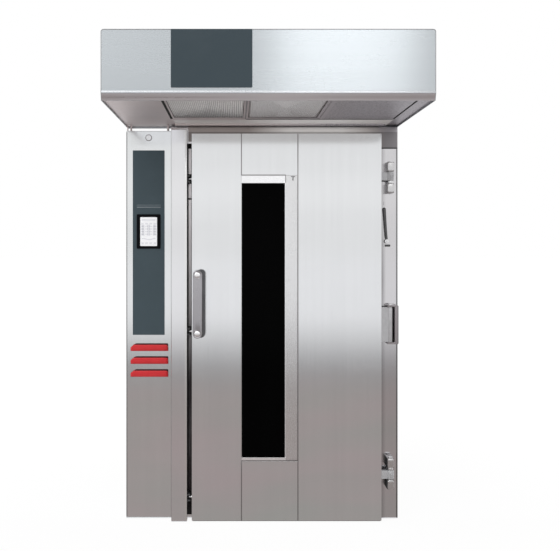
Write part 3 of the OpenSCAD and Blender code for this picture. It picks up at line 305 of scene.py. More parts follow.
def brushed(name, tone, rough=0.3, level=False, streak=0.10, smear=0.08, fine=1.0):
    """Brushed stainless steel: hair lines along the grain, broader streaks, and faint smears from wiping.

    A noise stretched along Z gives upright lines, and one stretched along X the lines of level faces, where the
    surface's own normal points up or down. With level set, all lines run along X. Reflections spread across the
    grain and stay sharper along it. The share fine weakens the hair lines.
    """
    paint = Paint(name, metallic=1.0, anisotropic=0.85, anisotropic_rotation=0.25 if level else 0.0)
    upright = (1.0, 700.0, 700.0) if level else (700.0, 700.0, 4.0)
    flat = (2.5, 700.0, 700.0)
    facing = abs(paint.axis(paint.node("TexCoord", output="Normal"), "Z")) > 0.7
    line = paint.node("Mix", {"data_type": "FLOAT"}, {
        0: facing, 2: paint.noise(paint.place(upright), 1.0, 2.0), 3: paint.noise(paint.place(flat), 1.0, 2.0)})
    band = paint.noise(paint.place((0.6, 30.0, 30.0) if level else (30.0, 30.0, 0.6)), 1.0, 3.0)
    cloud = paint.noise(paint.place((0.6, 0.6, 2.6)), 2.3, 4.0, 0.55)
    smudge = ((paint.noise(paint.place(), 14.0, 5.0, 0.65) - 0.5) * 4.0).clamped()
    shade = (band - 0.5) * streak + (line - 0.5) * (0.10 * fine) + (cloud - 0.5) * 0.13 + 0.5
    dark = tuple(v * 0.72 for v in tone)
    light = tuple(min(1.0, v * 1.28) for v in tone)
    paint.set(base_color=paint.mix(shade, dark, light),
              roughness=rough + (line - 0.5) * (0.10 * fine) + (cloud - 0.5) * smear + smudge * (0.03 * fine))
    return paint.bump(line, 0.00004 * fine, 0.6)


pan_steel = brushed("pan steel", (0.58, 0.57, 0.56), 0.38)
dress(pan_steel, "floor_pan", edge=0.001)

# Chamber liners and the wall sheets.
# The baking chamber is lined with plain stainless sheet, folded and welded at its corners and slightly browned by
# the heat.

liner_steel = brushed("heat toned liner", (0.55, 0.52, 0.48), 0.34)
dress(liner_steel, "left_wall", "right_liner", "rear_liner", "ceiling_liner")

# Mineral wool.
# Slabs of brownish mineral wool fill the walls, the roof and the front frame, held between the sheets.

wool = Paint("mineral wool", roughness=0.95, specular_ior_level=0.1, sheen_weight=0.15)
strands = wool.noise(wool.place((40.0, 40.0, 260.0)), 1.0, 6.0, 0.7)
tufts = wool.noise(wool.place(), 24.0, 5.0, 0.6)
wool.set(base_color=wool.mix(strands * 0.7 + tufts * 0.3, (0.26, 0.21, 0.10), (0.60, 0.51, 0.31)))
wool.bump(strands + tufts, 0.006, 0.9)
dress(wool, "wall_insulation")

# Outer panels.
# Brushed stainless sheets close the sides, the rear and the roof, with joints and rows of flush heads. Pan head
# screws fix the rear and the roof, and a cover strip lies over the rear's joint.


def quads(rows, columns, closed):
    """Corner numbers of a grid's faces, row by row. A closed grid's last column joins its first."""
    row, column = np.meshgrid(np.arange(rows - 1), np.arange(columns - (0 if closed else 1)), indexing="ij")
    after = (column + 1) % columns
    here, above = row * columns, (row + 1) * columns
    corners = (here + column, here + after, above + after, above + column)
    return np.stack([c.ravel() for c in corners], axis=1)


def skin(name, paint, body, *grids, slot="outer_steel", wall=0.0, standing_for=()):
    """One piece from grids of points, each an array of rows, columns and X, Y, Z with a flag for closed columns.

    Points that fall together at poles and seams are merged, so that each grid's surface is closed there, and faces
    are turned outwards. An open sheet gets a wall of the given thickness, half of it on either side.
    """
    points, faces, start = [], [], 0
    for grid, closed in grids:
        rows, columns = grid.shape[:2]
        points.append(grid.reshape(-1, 3))
        faces.append(quads(rows, columns, closed) + start)
        start += rows * columns
    mesh = bpy.data.meshes.new(name)
    mesh.from_pydata(np.concatenate(points).tolist(), [], np.concatenate(faces).tolist())
    tidy = bmesh.new()
    tidy.from_mesh(mesh)
    bmesh.ops.remove_doubles(tidy, verts=tidy.verts, dist=0.000002)
    bmesh.ops.recalc_face_normals(tidy, faces=tidy.faces)
    tidy.to_mesh(mesh)
    tidy.free()
    piece = bpy.data.objects.new(name, mesh)
    bpy.context.scene.collection.objects.link(piece)
    mesh.materials.append(paint.material)
    mesh.shade_smooth()
    mesh.set_sharp_from_angle(angle=math.radians(40))
    if wall:
        solid = piece.modifiers.new("wall", "SOLIDIFY")
        solid.thickness, solid.offset = wall, 0.0
    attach(piece, body)
    if standing_for:
        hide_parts(*standing_for)
    return piece


def turned(profile, centre, axis, sides=24):
    """A turned shape: each (radius, height) of the profile goes once round the axis, which starts at the centre."""
    radius, height = np.asarray(profile, float).T
    axis = np.asarray(axis, float)
    side = np.cross(axis, (0.3, 0.5, 0.8))
    side /= np.linalg.norm(side)
    other = np.cross(axis, side)
    angle = np.linspace(0, 2 * np.pi, sides, endpoint=False)[:, None]
    ring = np.cos(angle) * side + np.sin(angle) * other
    points = np.asarray(centre) + radius[:, None, None] * ring + height[:, None, None] * axis
    return points, True


def screw(centre, axis, size=0.004):
    """A pan head screw: a low dome with a round recess in it, standing on a thin washer."""
    profile = np.array([(1.55, 0.0), (1.55, 0.12), (1.0, 0.15), (0.97, 0.42), (0.75, 0.62), (0.42, 0.70),
                        (0.36, 0.40), (0.0, 0.34)]) * size
    return turned(profile, centre, axis, 14)


def overlay(paint, share, colour):
    """Lays a colour over the paint's own, by the share."""
    under = Term(paint, paint.shader.inputs["Base Color"].links[0].from_socket)
    paint.set(base_color=paint.mix(share, under, colour))


outer_steel = brushed("outer steel", (0.60, 0.60, 0.60), 0.28)
spot = outer_steel.place()
from_joint = abs(abs(outer_steel.axis(spot, "Y") - 0.34) - 0.22)
along_joint = (outer_steel.axis(spot, "Z") + 0.05).repeat(0.26) - 0.13
from_head = (from_joint - 0.020) ** 2.0 + along_joint ** 2.0
overlay(outer_steel, (from_joint < 0.0013) * 0.9, (0.06, 0.06, 0.06))
overlay(outer_steel, (from_head < 0.000030) * 0.85, (0.10, 0.10, 0.10))
overlay(outer_steel, from_head < 0.000017, (0.72, 0.72, 0.72))
dress(outer_steel, "left_side_panel", "right_side_panel", "rear_panel", "roof_panel")


def mottled(name, first, second, rough, swing, scale=1.0, detail=4.0, coarse=0.5, stretch=(1, 1, 1), **constants):
    """A paint that drifts between two colours with one noise, which the roughness follows. The noise comes along."""
    paint = Paint(name, **constants)
    cloud = paint.noise(paint.place(stretch), scale, detail, coarse)
    paint.set(base_color=paint.mix(cloud, first, second), roughness=rough + cloud * swing)
    return paint, cloud


bright_steel, tarnish = mottled("bright screw steel", (0.52, 0.51, 0.50), (0.72, 0.72, 0.72), 0.22, 0.16, 120.0,
                                metallic=1.0)
bright_steel.bump(tarnish, 0.0002, 0.3)
rear_low, rear_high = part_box("rear_panel")
heads = [screw((x, rear_high.y + lift, z), (0, 1, 0), 0.005) for z in np.linspace(0.06, 2.02, 8)
         for x, lift in ((rear_low.x + 0.015, 0), (-0.50, 0.0012), (-0.47, 0.0012), (rear_high.x - 0.015, 0))]
heads += [screw((x, rear_high.y, z), (0, 1, 0), 0.005) for z in (0.03, 2.06) for x in np.linspace(-0.40, 0.64, 7)]
roof_low, roof_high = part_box("roof_panel")
heads += [screw((x, y, roof_high.z), (0, 0, 1), 0.005) for x in (roof_low.x + 0.02, roof_high.x - 0.02)
          for y in np.linspace(roof_low.y + 0.2, roof_high.y - 0.05, 5)]
skin("panel_screws", bright_steel, "cabinet", *heads)

# Front frame, latch post, hinge pillar and header.
# Folded stainless sheets, brushed along their length, screwed to the cabinet's front. The latch post stands proud
# and carries a bright edge strip beside the door's gap.


def rounded(x, z, radius, steps=6):
    """A rectangle's outline with round corners, anticlockwise: a quarter circle about each corner's own centre."""
    turn = np.linspace(0, np.pi / 2, steps)
    corners = [(x[1] - radius, z[0] + radius, -0.5), (x[1] - radius, z[1] - radius, 0.0),
               (x[0] + radius, z[1] - radius, 0.5), (x[0] + radius, z[0] + radius, 1.0)]
    quarters = [np.stack([cx + radius * np.cos(turn + start * np.pi), cz + radius * np.sin(turn + start * np.pi)],
                         axis=1) for cx, cz, start in corners]
    return np.concatenate(quarters)


def plate(outline, y, edge, crown=0.0):
    """A flat piece with a rounded rim: an outline in X and Z, from its back at y[1] to its face at y[0].

    Over the rim the outline is drawn in by edge times (1 - cos t) while y falls short of the face by edge times
    (1 - sin t). The face rises by crown to its middle.
    """
    outline = np.asarray(outline, float)
    middle = np.broadcast_to(outline.mean(axis=0), outline.shape)
    along = np.roll(outline, -1, axis=0) - np.roll(outline, 1, axis=0)
    inward = np.stack([-along[:, 1], along[:, 0]], axis=1) / np.linalg.norm(along, axis=1)[:, None]
    turn = np.linspace(0, np.pi / 2, 5)
    rims = [outline + inward * edge * (1 - np.cos(t)) for t in turn]
    rings = [middle, outline, *rims, (rims[-1] + middle) / 2, middle]
    levels = [y[1], y[1], *(y[0] + edge * (1 - np.sin(turn))), y[0] - crown * 0.75, y[0] - crown]
    return np.stack([np.insert(ring, 1, level, axis=1) for ring, level in zip(rings, levels)]), True


front_steel = brushed("front steel", (0.76, 0.76, 0.775), 0.14)
dress(front_steel, "door_frame", edge=0.0008)
dress(front_steel, "latch_post", edge=0.003)
pillar_steel = brushed("pillar steel", (0.64, 0.63, 0.645), 0.15)
pillar_point = pillar_steel.place()
# A darker band on the pillar beside the door, strongest about 1.27 m up, is painted shade.
door_side_shade = ((0.661 - pillar_steel.axis(pillar_point, "X")) * 45.0).clamped()
shade_by_height = (1.0 - abs(pillar_steel.axis(pillar_point, "Z") - 1.27) * 3.0).clamped() * 0.32 + 0.36
overlay(pillar_steel, door_side_shade * shade_by_height, (0.10, 0.098, 0.10))
dress(pillar_steel, "hinge_post", edge=0.0008)
pillar_low, pillar_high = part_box("hinge_post")
edge_grey = brushed("shaded edge", (0.22, 0.22, 0.225), 0.4)
# A dark grey strip along the pillar's outer edge is painted shade along its fold.
pillar_edge_shade = rounded((pillar_high.x - 0.0065, pillar_high.x), (0.004, 1.972), 0.001, 3)
skin("pillar_edge_shade", edge_grey, "cabinet", plate(pillar_edge_shade, (pillar_low.y - 0.0010, pillar_low.y), 0.0004))
# The header's dark brown is painted shade under the hood. It is darker still at its right end and along its lower
# part, painted shade too, and a lighter band across its middle is a painted highlight.
header_steel = Paint("header steel", metallic=1.0)
header_x = header_steel.axis(header_steel.place(), "X")
header_shade_brown = header_steel.noise(header_steel.place((3.0, 3.0, 40.0)), 1.0, 3.0)
header_line = header_steel.noise(header_steel.place((1.0, 700.0, 700.0)), 1.0, 2.0)
header_highlight = ((0.36 - abs(header_x - 0.29)) * 4.5).clamped()
header_shade_tone = header_steel.mix(header_shade_brown, (0.33, 0.29, 0.275), (0.42, 0.38, 0.365))
header_shade_tone = header_steel.mix(header_highlight, header_shade_tone, (0.86, 0.84, 0.82))
header_end_shade = ((header_x - 0.56) * 9.0).clamped()
header_steel.set(base_color=header_steel.mix(header_end_shade, header_shade_tone, (0.33, 0.315, 0.33)),
                 roughness=0.30 + header_line * 0.08)
header_steel.bump(header_line, 0.00004, 0.6)
header_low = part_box("header_panel")[0]
shaded_foot = header_steel.axis(header_steel.place(), "Z") < 2.0625
overlay(header_steel, shaded_foot * 0.5, (0.08, 0.075, 0.075))
dress(header_steel, "header_panel", edge=0.0008)
joint = rounded((pillar_low.x + 0.001, pillar_high.x - 0.0006), (header_low.z - 0.0055, header_low.z + 0.0015),
                0.0005, 3)
joint_grime = painted("joint sealant", (0.020, 0.019, 0.020), (0.05, 0.048, 0.05), 0.6)
skin("header_joint", joint_grime, "cabinet", plate(joint, (pillar_low.y - 0.0012, pillar_low.y), 0.0003),
     slot="dark_steel")
post_low, post_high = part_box("latch_post")
strip_steel = brushed("edge strip", (0.82, 0.82, 0.82), 0.22)
strip_outline = rounded((post_high.x - 0.0125, post_high.x - 0.0008), (post_low.z + 0.004, post_high.z - 0.004),
                        0.002)
skin("post_edge_strip", strip_steel, "cabinet", plate(strip_outline, (post_low.y - 0.0012, post_low.y), 0.0005))

# The seam beside the door.
# A black lining of painted shade fills the gap between the post and the door, and an aluminium bar runs down it,
# darker towards its foot and broken where the three bolts enter their keepers.

gap_shade_black = Paint("painted gap shade", specular_ior_level=0.2)
gap_shade_speckle = gap_shade_black.noise(gap_shade_black.place((60.0, 60.0, 6.0)), 1.0, 4.0)
gap_shade_black.set(base_color=gap_shade_black.mix(gap_shade_speckle, (0.008, 0.008, 0.008), (0.030, 0.027, 0.026)), roughness=0.8)
frame_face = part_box("door_frame")[0].y
gap_shade = rounded((post_high.x, -0.3385), (0.02, 2.0), 0.002, 3)
skin("seam_gap_shade", gap_shade_black, "cabinet", plate(gap_shade, (frame_face - 0.0012, frame_face), 0.0004),
     slot="rubber_black")
bar_alloy = Paint("seam bar", metallic=0.6)
bar_grime = bar_alloy.noise(bar_alloy.place((40.0, 40.0, 5.0)), 1.0, 4.0)
bar_rise = ((bar_alloy.axis(bar_alloy.place(), "Z") - 0.72) / 0.95).clamped()
bar_alloy.set(base_color=bar_alloy.mix(bar_rise + (bar_grime - 0.5) * 0.3, (0.03, 0.025, 0.027), (0.95, 0.92, 0.93)),
              roughness=0.45)
bar_alloy.bump(bar_grime, 0.0002, 0.4)
bar_x, bar_spans = (-0.3915, -0.3760), ((0.150, 0.980), (1.025, 1.700), (1.708, 1.785), (1.835, 1.972))
seam_bars = [plate(rounded(bar_x, span, 0.002, 3), (frame_face - 0.009, frame_face), 0.001) for span in bar_spans]
skin("seam_bar", bar_alloy, "cabinet", *seam_bars)

# Door gasket.
# A black silicone bulb on three sides of the doorway, clipped to the frame and pressed flat by the closed door.

rubber, _ = mottled("black silicone", (0.012, 0.012, 0.012), (0.035, 0.034, 0.033), 0.55, 0.2, 30.0, 5.0, 0.6,
                    specular_ior_level=0.4)
rubber.bump(rubber.noise(rubber.place(), 1400.0, 2.0), 0.0001, 0.4)


def carried(path, section, across, closed=False):
    """A section carried along a path that lies square to the vector across.

    Each (u, v) of the section lies u along the path's direction crossed with across, and v along across. At a bend u
    grows by one over the cosine of half the bend, which keeps the section's width through a mitre. An open path is
    closed at its ends by a point in the section's middle.
    """
    path, section, across = (np.asarray(v, float) for v in (path, section, across))
    if closed:
        ahead, behind = np.roll(path, -1, axis=0) - path, path - np.roll(path, 1, axis=0)
    else:
        step = np.diff(path, axis=0)
        ahead, behind = np.vstack([step, step[-1:]]), np.vstack([step[:1], step])
    ahead, behind = (v / np.linalg.norm(v, axis=1)[:, None] for v in (ahead, behind))
    way = ahead + behind
    way /= np.linalg.norm(way, axis=1)[:, None]
    side = np.cross(way, across) / (way * ahead).sum(axis=1)[:, None]
    points = path[:, None] + section[None, :, :1] * side[:, None] + section[None, :, 1:] * across
    if closed:
        return np.concatenate([points, points[:1]]), True
    ends = points.mean(axis=1, keepdims=True).repeat(len(section), axis=1)
    return np.concatenate([ends[:1], points, ends[-1:]]), True


seal_low, seal_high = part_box("door_gasket")
seal_x, seal_y = (seal_low.x + 0.009, seal_high.x - 0.009), seal_high.y
seal_route = [(seal_x[0], seal_y, seal_low.z), (seal_x[0], seal_y, seal_high.z - 0.009),
              (seal_x[1], seal_y, seal_high.z - 0.009), (seal_x[1], seal_y, seal_low.z)]
seal_turn = np.linspace(0, np.pi, 11)
bulb = np.stack([0.0062 * np.cos(seal_turn), -0.0030 - 0.0064 * np.sin(seal_turn)], axis=1)
bulb_section = np.concatenate([[(0.009, 0.0), (0.009, -0.0022)], bulb, [(-0.009, -0.0022), (-0.009, 0.0)]])
skin("bulb_seal", rubber, "cabinet", carried(seal_route, bulb_section, (0, 1, 0)), slot="rubber_black",
     standing_for=["door_gasket"])

# Air panel, heaters and circulation fan.
# A stainless panel with air slots and a suction mouth stands before ring heaters and a radial fan.

dress(liner_steel, "air_panel")
heater_skin, oxide = mottled("heater tube", (0.09, 0.075, 0.07), (0.24, 0.20, 0.19), 0.45, 0.3, 60.0, 5.0, 0.65,
                             metallic=0.8)
heater_skin.bump(oxide, 0.0004, 0.5)
dress(heater_skin, "heater_bank")
fan_steel = brushed("fan sheet", (0.60, 0.59, 0.57), 0.36)
dress(fan_steel, "fan_wheel")
motor_paint = painted("motor enamel", (0.055, 0.085, 0.12), (0.09, 0.12, 0.15), 0.42)
dress(motor_paint, "fan_motor")

# Steam generator and water pipe.
# A cascade of rough cast iron trays between two plates, fed by a brass pipe with a solenoid valve.

cast = Paint("rusted cast iron", metallic=0.3)
sand = cast.noise(cast.place(), 260.0, 5.0, 0.7)
rust = ((cast.noise(cast.place(), 11.0, 5.0, 0.6) - 0.47) * 6.0).clamped()
cast.set(base_color=cast.mix(rust, (0.10, 0.09, 0.085), (0.24, 0.115, 0.06)), roughness=0.6 + sand * 0.3)
cast.bump(sand, 0.0012, 0.8)
dress(cast, "steam_generator")
brass, patina = mottled("brass pipe", (0.62, 0.42, 0.16), (0.42, 0.27, 0.11), 0.26, 0.25, 38.0, 5.0, 0.6,
                        metallic=1.0)
brass.bump(patina, 0.0002, 0.3)
dress(brass, "water_pipe")

# Vapour stack, damper and rack lift.
# The round duct leaves the chamber's ceiling with a turning flap in it. Beside it a gearbox lifts and turns the
# carrier that the trolley hangs on.

duct_steel = brushed("duct sheet", (0.62, 0.62, 0.62), 0.36)
dress(duct_steel, "vapour_stack", "damper_flap")
dress(rail_paint, "lift_guide", edge=0.001)
gear_paint = painted("gearbox paint", (0.16, 0.20, 0.25), (0.24, 0.28, 0.32), 0.4)
dress(gear_paint, "lift_gearbox", edge=0.003)
dress(duct_steel, "rack_carrier", edge=0.001)


def hexagon(centre, axis, reach, height):
    """A bolt head: six flat sides, a chamfered top, and a round washer under it."""
    washer = [(0.0, 0.0), (reach * 1.45, 0.0), (reach * 1.45, 0.0012), (reach, 0.0013), (0.0, 0.0014)]
    head = [(0.0, 0.0012), (reach, 0.0012), (reach, height * 0.85), (reach * 0.86, height), (0.0, height)]
    return [turned(washer, centre, axis, 20), turned(head, centre, axis, 6)]


def beads(centre, radius, heights, thick=0.0026):
    """Rolled beads on an upright duct: small round sections carried along circles about its axis."""
    angle = np.linspace(0, 2 * np.pi, 64, endpoint=False)
    wheel = np.linspace(0, 2 * np.pi, 10, endpoint=False)
    section = thick * np.stack([np.cos(wheel), np.sin(wheel)], axis=1)
    rings = [np.stack([centre[0] + radius * np.cos(angle), centre[1] + radius * np.sin(angle),
                       np.full(64, z)], axis=1) for z in heights]
    return [carried(ring, section, (0, 0, 1), closed=True) for ring in rings]


stack_low, stack_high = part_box("vapour_stack")
stack = (stack_low.x + 0.100, (stack_low.y + stack_high.y) / 2)
skin("stack_beads", duct_steel, "cabinet", *beads(stack, 0.0755, (stack_high.z - 0.006, stack_high.z - 0.045, 2.120)))
around = np.arange(6) * np.pi / 3 + 0.3
flange_bolts = [(stack[0] + 0.0885 * np.cos(a), stack[1] + 0.0885 * np.sin(a), 2.094) for a in around]
bolts = [grid for foot in flange_bolts for grid in hexagon(foot, (0, 0, 1), 0.0055, 0.006)]
motor_low, motor_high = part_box("fan_motor")
motor_x = (motor_low.x + motor_high.x) / 2
bolts += [grid for x in (-0.098, 0.098) for z in (-0.098, 0.098)
          for grid in hexagon((motor_x + x, rear_high.y + 0.008, 1.0 + z), (0, 1, 0), 0.008, 0.0075)]
skin("duct_and_motor_bolts", bright_steel, "cabinet", *bolts)
gear_low, gear_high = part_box("lift_gearbox")
gear = (gear_low.x + 0.100, (gear_low.y + gear_high.y) / 2)
lid_bolts = [grid for x in (-0.082, 0.082) for y in (-0.058, 0.058)
             for grid in hexagon((gear[0] + x, gear[1] + y, gear_high.z), (0, 0, 1), 0.0065, 0.0065)]
skin("gearbox_bolts", bright_steel, "lift", *lid_bolts)
fin = [(0.0570, 0.0), (0.0625, 0.0), (0.0630, 0.0010), (0.0630, 0.0030), (0.0625, 0.0040), (0.0570, 0.0040),
       (0.0570, 0.0)]
fins = [turned(fin, (x, gear[1], gear_high.z - 0.050), (1, 0, 0), 48)
        for x in np.arange(gear_low.x + 0.240, gear_high.x - 0.025, 0.013)]
skin("lift_motor_fins", gear_paint, "lift", *fins, slot="gear_cast")

# Hinges.
# Two hinges of solid stainless blocks on turned pins, with arms welded to the door's edge, and a third one behind a
# guard plate halfway up.

# The hinge blocks' steel is darkened as painted shade on their sides.
dark_and_shaded_steel = brushed("dark and shaded steel", (0.30, 0.285, 0.29), 0.26)
dress(dark_and_shaded_steel, "hinge_blocks", edge=0.0015)
guard_steel = brushed("guard steel", (0.34, 0.315, 0.325), 0.3)
dress(guard_steel, "guard_bracket", edge=0.004)
polished = Paint("polished steel", metallic=1.0)
swirl = polished.noise(polished.place((300.0, 300.0, 12.0)), 1.0, 3.0)
breath = polished.noise(polished.place(), 18.0, 4.0)
polished.set(base_color=polished.mix(breath, (0.66, 0.66, 0.67), (0.80, 0.80, 0.81)), roughness=0.16 + swirl * 0.10)
polished.bump(swirl, 0.00003, 0.4)
dress(polished, "hinge_pins", edge=0.0008)
leaf_zinc = Paint("dull zinc leaf", metallic=0.45, specular_ior_level=0.4)
leaf_point = leaf_zinc.place()
blotch = leaf_zinc.noise(leaf_point, 45.0, 5.0, 0.6)
leaf_z = leaf_zinc.axis(leaf_point, "Z")
# Near black where the middle arm's knuckle turns away is painted shade.
knuckle_shade = (leaf_zinc.axis(leaf_point, "X") > 0.6840) * (leaf_z > 0.9) * (leaf_z < 1.2)
leaf_zinc.set(base_color=leaf_zinc.mix(knuckle_shade, leaf_zinc.mix(blotch, (0.38, 0.38, 0.39), (0.56, 0.56, 0.575)),
                                       (0.02, 0.02, 0.022)), roughness=0.42 + blotch * 0.15)
leaf_zinc.bump(blotch, 0.0003, 0.4)
dress(leaf_zinc, "hinge_arms", edge=0.0015)
block_low, block_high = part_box("hinge_blocks")
block_h = 0.050
block_feet = (block_low.z, block_low.z + 0.113, block_high.z - 0.163, block_high.z - block_h)
cover_steel = brushed("hinge cover", (0.62, 0.615, 0.62), 0.28)
covers = [plate(rounded((block_low.x + 0.001, block_high.x - 0.001), (z + 0.001, z + block_h - 0.001), 0.010),
                (block_low.y - 0.005, block_low.y), 0.0035, 0.0012) for z in block_feet]
skin("hinge_covers", cover_steel, "cabinet", *covers)
# Near black plates on the left sides of the two lower hinge blocks are painted shade.
flank_shades = [plate(rounded((block_low.x - 0.0025, block_low.x), (z + 0.002, z + block_h - 0.002), 0.001, 3),
                (block_low.y + 0.002, block_high.y - 0.002), 0.001) for z in block_feet[:2]]
flank_shade_paint = painted("hinge flank shade", (0.018, 0.018, 0.02), (0.04, 0.04, 0.04), 0.6)
skin("hinge_flank_shades", flank_shade_paint, "cabinet", *flank_shades, slot="dark_steel")
arm_low, arm_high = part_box("hinge_arms")
grub = [(0.0, 0.0), (0.0100, 0.0), (0.0100, 0.0030), (0.0088, 0.0042), (0.0042, 0.0044), (0.0036, 0.0024),
        (0.0, 0.0022)]
grubs = [turned(grub, (0.683, arm_low.y + 0.0010, z), (0, -1, 0), 24)
         for z in (block_feet[0] + 0.075, arm_high.z - 0.022)]
skin("hinge_grub_screws", leaf_zinc, "door", *grubs)
guard_low, guard_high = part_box("guard_bracket")
# A dark grey strip along the guard's outer edge is painted shade.
guard_rim = rounded((guard_high.x - 0.0028, guard_high.x), (guard_low.z + 0.004, guard_high.z - 0.004), 0.001, 3)
skin("guard_rim", edge_grey, "cabinet", plate(guard_rim, (guard_low.y - 0.0008, guard_low.y), 0.0003),
     slot="dark_steel")

# Latch keepers and hand lever.
# Dark keepers are screwed to the post behind the door's edge. A short black lever turns on its own plate above the
# middle hinge.

dress(rail_paint, "latch_keepers", edge=0.0008)
dress(pillar_steel, "lever_base", edge=0.0015)
grip_black, _ = mottled("moulded grip", (0.045, 0.045, 0.047), (0.095, 0.095, 0.10), 0.42, 0.2, 26.0,
                        specular_ior_level=0.45)
grip_black.bump(grip_black.node("TexVoronoi", None, {"Vector": grip_black.place(), "Scale": 900.0}), 0.0002, 0.5)
grip_grey = painted("worn lever grip", (0.085, 0.085, 0.088), (0.15, 0.15, 0.155), 0.5)


def lofted(centres, half_x, half_y, fullness=2.6, sides=22):
    """A closed rod through its centres. Each ring is a superellipse: the half width times the cosine, and the half
    depth times the sine, each taken to the power of two over the fullness."""
    angle = np.linspace(0, 2 * np.pi, sides, endpoint=False)
    wide, deep = (np.sign(v) * np.abs(v) ** (2 / fullness) for v in (np.cos(angle), np.sin(angle)))
    ring = np.stack([np.outer(half_x, wide), np.outer(half_y, deep), np.zeros((len(centres), sides))], axis=2)
    return centres[:, None] + ring, True


lever_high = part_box("hand_lever")[1]
hub = np.array((0.662, lever_high.y, 1.478))
rise = np.linspace(0, 1, 26)
rounding = np.sqrt(1 - (np.clip(np.abs(2 * rise - 1) - 0.92, 0, None) / 0.08) ** 2)
grip_line = np.stack([hub[0] + 0.002 - 0.0135 * rise ** 0.8, np.full(26, hub[1] - 0.0080),
                      hub[2] + 0.004 + (lever_high.z - hub[2] - 0.004) * rise], axis=1)
hub_profile = [(0.0, 0.0), (0.0090, 0.0), (0.0100, 0.001), (0.0100, 0.015), (0.0088, 0.0165), (0.0, 0.0165)]
skin("lever_grip", grip_grey, "lever", lofted(grip_line, (0.0060 + 0.0022 * rise ** 2) * rounding, 0.0060 * rounding),
     turned(hub_profile, hub, (0, -1, 0), 32), slot="grip_black", standing_for=["hand_lever"])
hub_cap = [(0.0, 0.0165), (0.0108, 0.0165), (0.0108, 0.0180), (0.0095, 0.0192), (0.0, 0.0196)]
skin("lever_hub_cap", polished, "lever", turned(hub_cap, hub, (0, -1, 0), 32))
foot_outline = rounded((0.6545, 0.6835), (1.4495, 1.4610), 0.003)
skin("lever_foot", grip_black, "cabinet", plate(foot_outline, (-0.3100, -0.3055), 0.001), slot="dark_steel")

# Hood.
# A wide stainless box reaching out over the door, brushed along its length, with a turned-in lower edge, a recessed
# underside with grease filters, and an extract fan in its left end.

hood_steel = brushed("hood steel", (0.50, 0.532, 0.555), 0.27, level=True, smear=0.03, fine=0.2)
dress(hood_steel, "hood_shell", edge=0.0015)
hood_low, hood_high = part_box("hood_shell")
hem_z = hood_low.z + 0.030
rim = rounded((hood_low.x + 0.0016, hood_high.x - 0.0016), (hem_z, hood_high.z - 0.0016), 0.0108, 9)
rim = np.insert(rim[(rim[:, 1] > hem_z + 0.02)], 1, hood_low.y - 0.0003, axis=1)
rim = np.concatenate([[(hood_high.x - 0.0016, hood_low.y - 0.0003, hem_z)], rim,
                      [(hood_low.x + 0.0016, hood_low.y - 0.0003, hem_z)]])
bead_turn = np.linspace(0, 2 * np.pi, 10, endpoint=False)
bead = 0.0016 * np.stack([np.cos(bead_turn), np.sin(bead_turn)], axis=1)
rim_steel = brushed("rim bead", (0.40, 0.40, 0.41), 0.4)
skin("hood_rim_bead", rim_steel, "cabinet", carried(rim, bead, (0, 1, 0)), slot="hood_steel")
hem_bright = brushed("hem steel", (0.56, 0.577, 0.60), 0.26, level=True, fine=0.35)
hem_flat = [(0.0, 0.0), (0.0, 0.0102), (0.0005, 0.0106), (0.0009, 0.0100), (0.0009, 0.0010), (0.0006, 0.0002)]
ends = [(hood_low.x + 0.003, hood_low.y, hem_z), (hood_high.x - 0.003, hood_low.y, hem_z)]
skin("hood_hem", hem_bright, "cabinet", carried(ends, hem_flat, (0, 0, 1)), slot="hood_steel")
band_steel = brushed("slanted band", (0.63, 0.60, 0.615), 0.3, level=True)
band_flat = [(0.0004, -0.0004), (-0.0112, -0.0296), (-0.0120, -0.0290), (-0.0010, -0.0010)]
skin("hood_band", band_steel, "cabinet", carried(ends, band_flat, (0, 0, 1)), slot="hood_steel")

# Hood underside and grease filters.
# Folded sheets with thin dark seams between them, and strips of painted shade in the gaps beside the filters.
# Two cassettes lift out backwards: one of straight pleats and one of pleats bent to and fro, each of aluminium sheet
# in a frame of channel.

under_steel = Paint("underside steel", metallic=1.0)
under_x = under_steel.axis(under_steel.place(), "X")
haze = under_steel.noise(under_steel.place(), 5.0, 5.0, 0.6)
left_tone = under_steel.mix(haze, (0.64, 0.57, 0.565), (0.78, 0.72, 0.715))
right_tone = under_steel.mix(haze, (0.40, 0.38, 0.41), (0.56, 0.54, 0.57))
under_steel.set(base_color=under_steel.mix((under_x * 1.6 + 0.30).clamped(), left_tone, right_tone),
                roughness=0.42 + haze * 0.2)
under_steel.bump(under_steel.noise(under_steel.place((1.0, 500.0, 500.0)), 1.0, 2.0), 0.00004, 0.5)
weave = under_steel.noise(under_steel.place((160.0, 60.0, 60.0)), 1.0, 3.0, 0.6)
overlay(under_steel, (under_x > 0.302) * ((weave - 0.45) * 2.6).clamped(), (0.20, 0.195, 0.21))
dress(under_steel, "hood_underside", edge=0.0005)
dress(duct_steel, "hood_fan_housing", "hood_fan_wheel")
spout_low, spout_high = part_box("hood_fan_housing")
spout = ((spout_low.x + spout_high.x) / 2, (spout_low.y + spout_high.y) / 2)
skin("spigot_beads", duct_steel, "cabinet", *beads(spout, 0.1005, (spout_high.z - 0.006, spout_high.z - 0.030)),
     slot="hood_steel")
collar = [(0.104, 0.0), (0.128, 0.0), (0.128, 0.0012), (0.108, 0.0024), (0.1005, 0.0060), (0.1002, 0.0), (0.104, 0.0)]
skin("spigot_collar", duct_steel, "cabinet", turned(collar, (*spout, hood_high.z), (0, 0, 1), 64), slot="hood_steel")
under_z = 2.098
filter_low, filter_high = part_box("filter_left")
filter_y = (filter_low.y - 0.012, filter_high.y + 0.014)


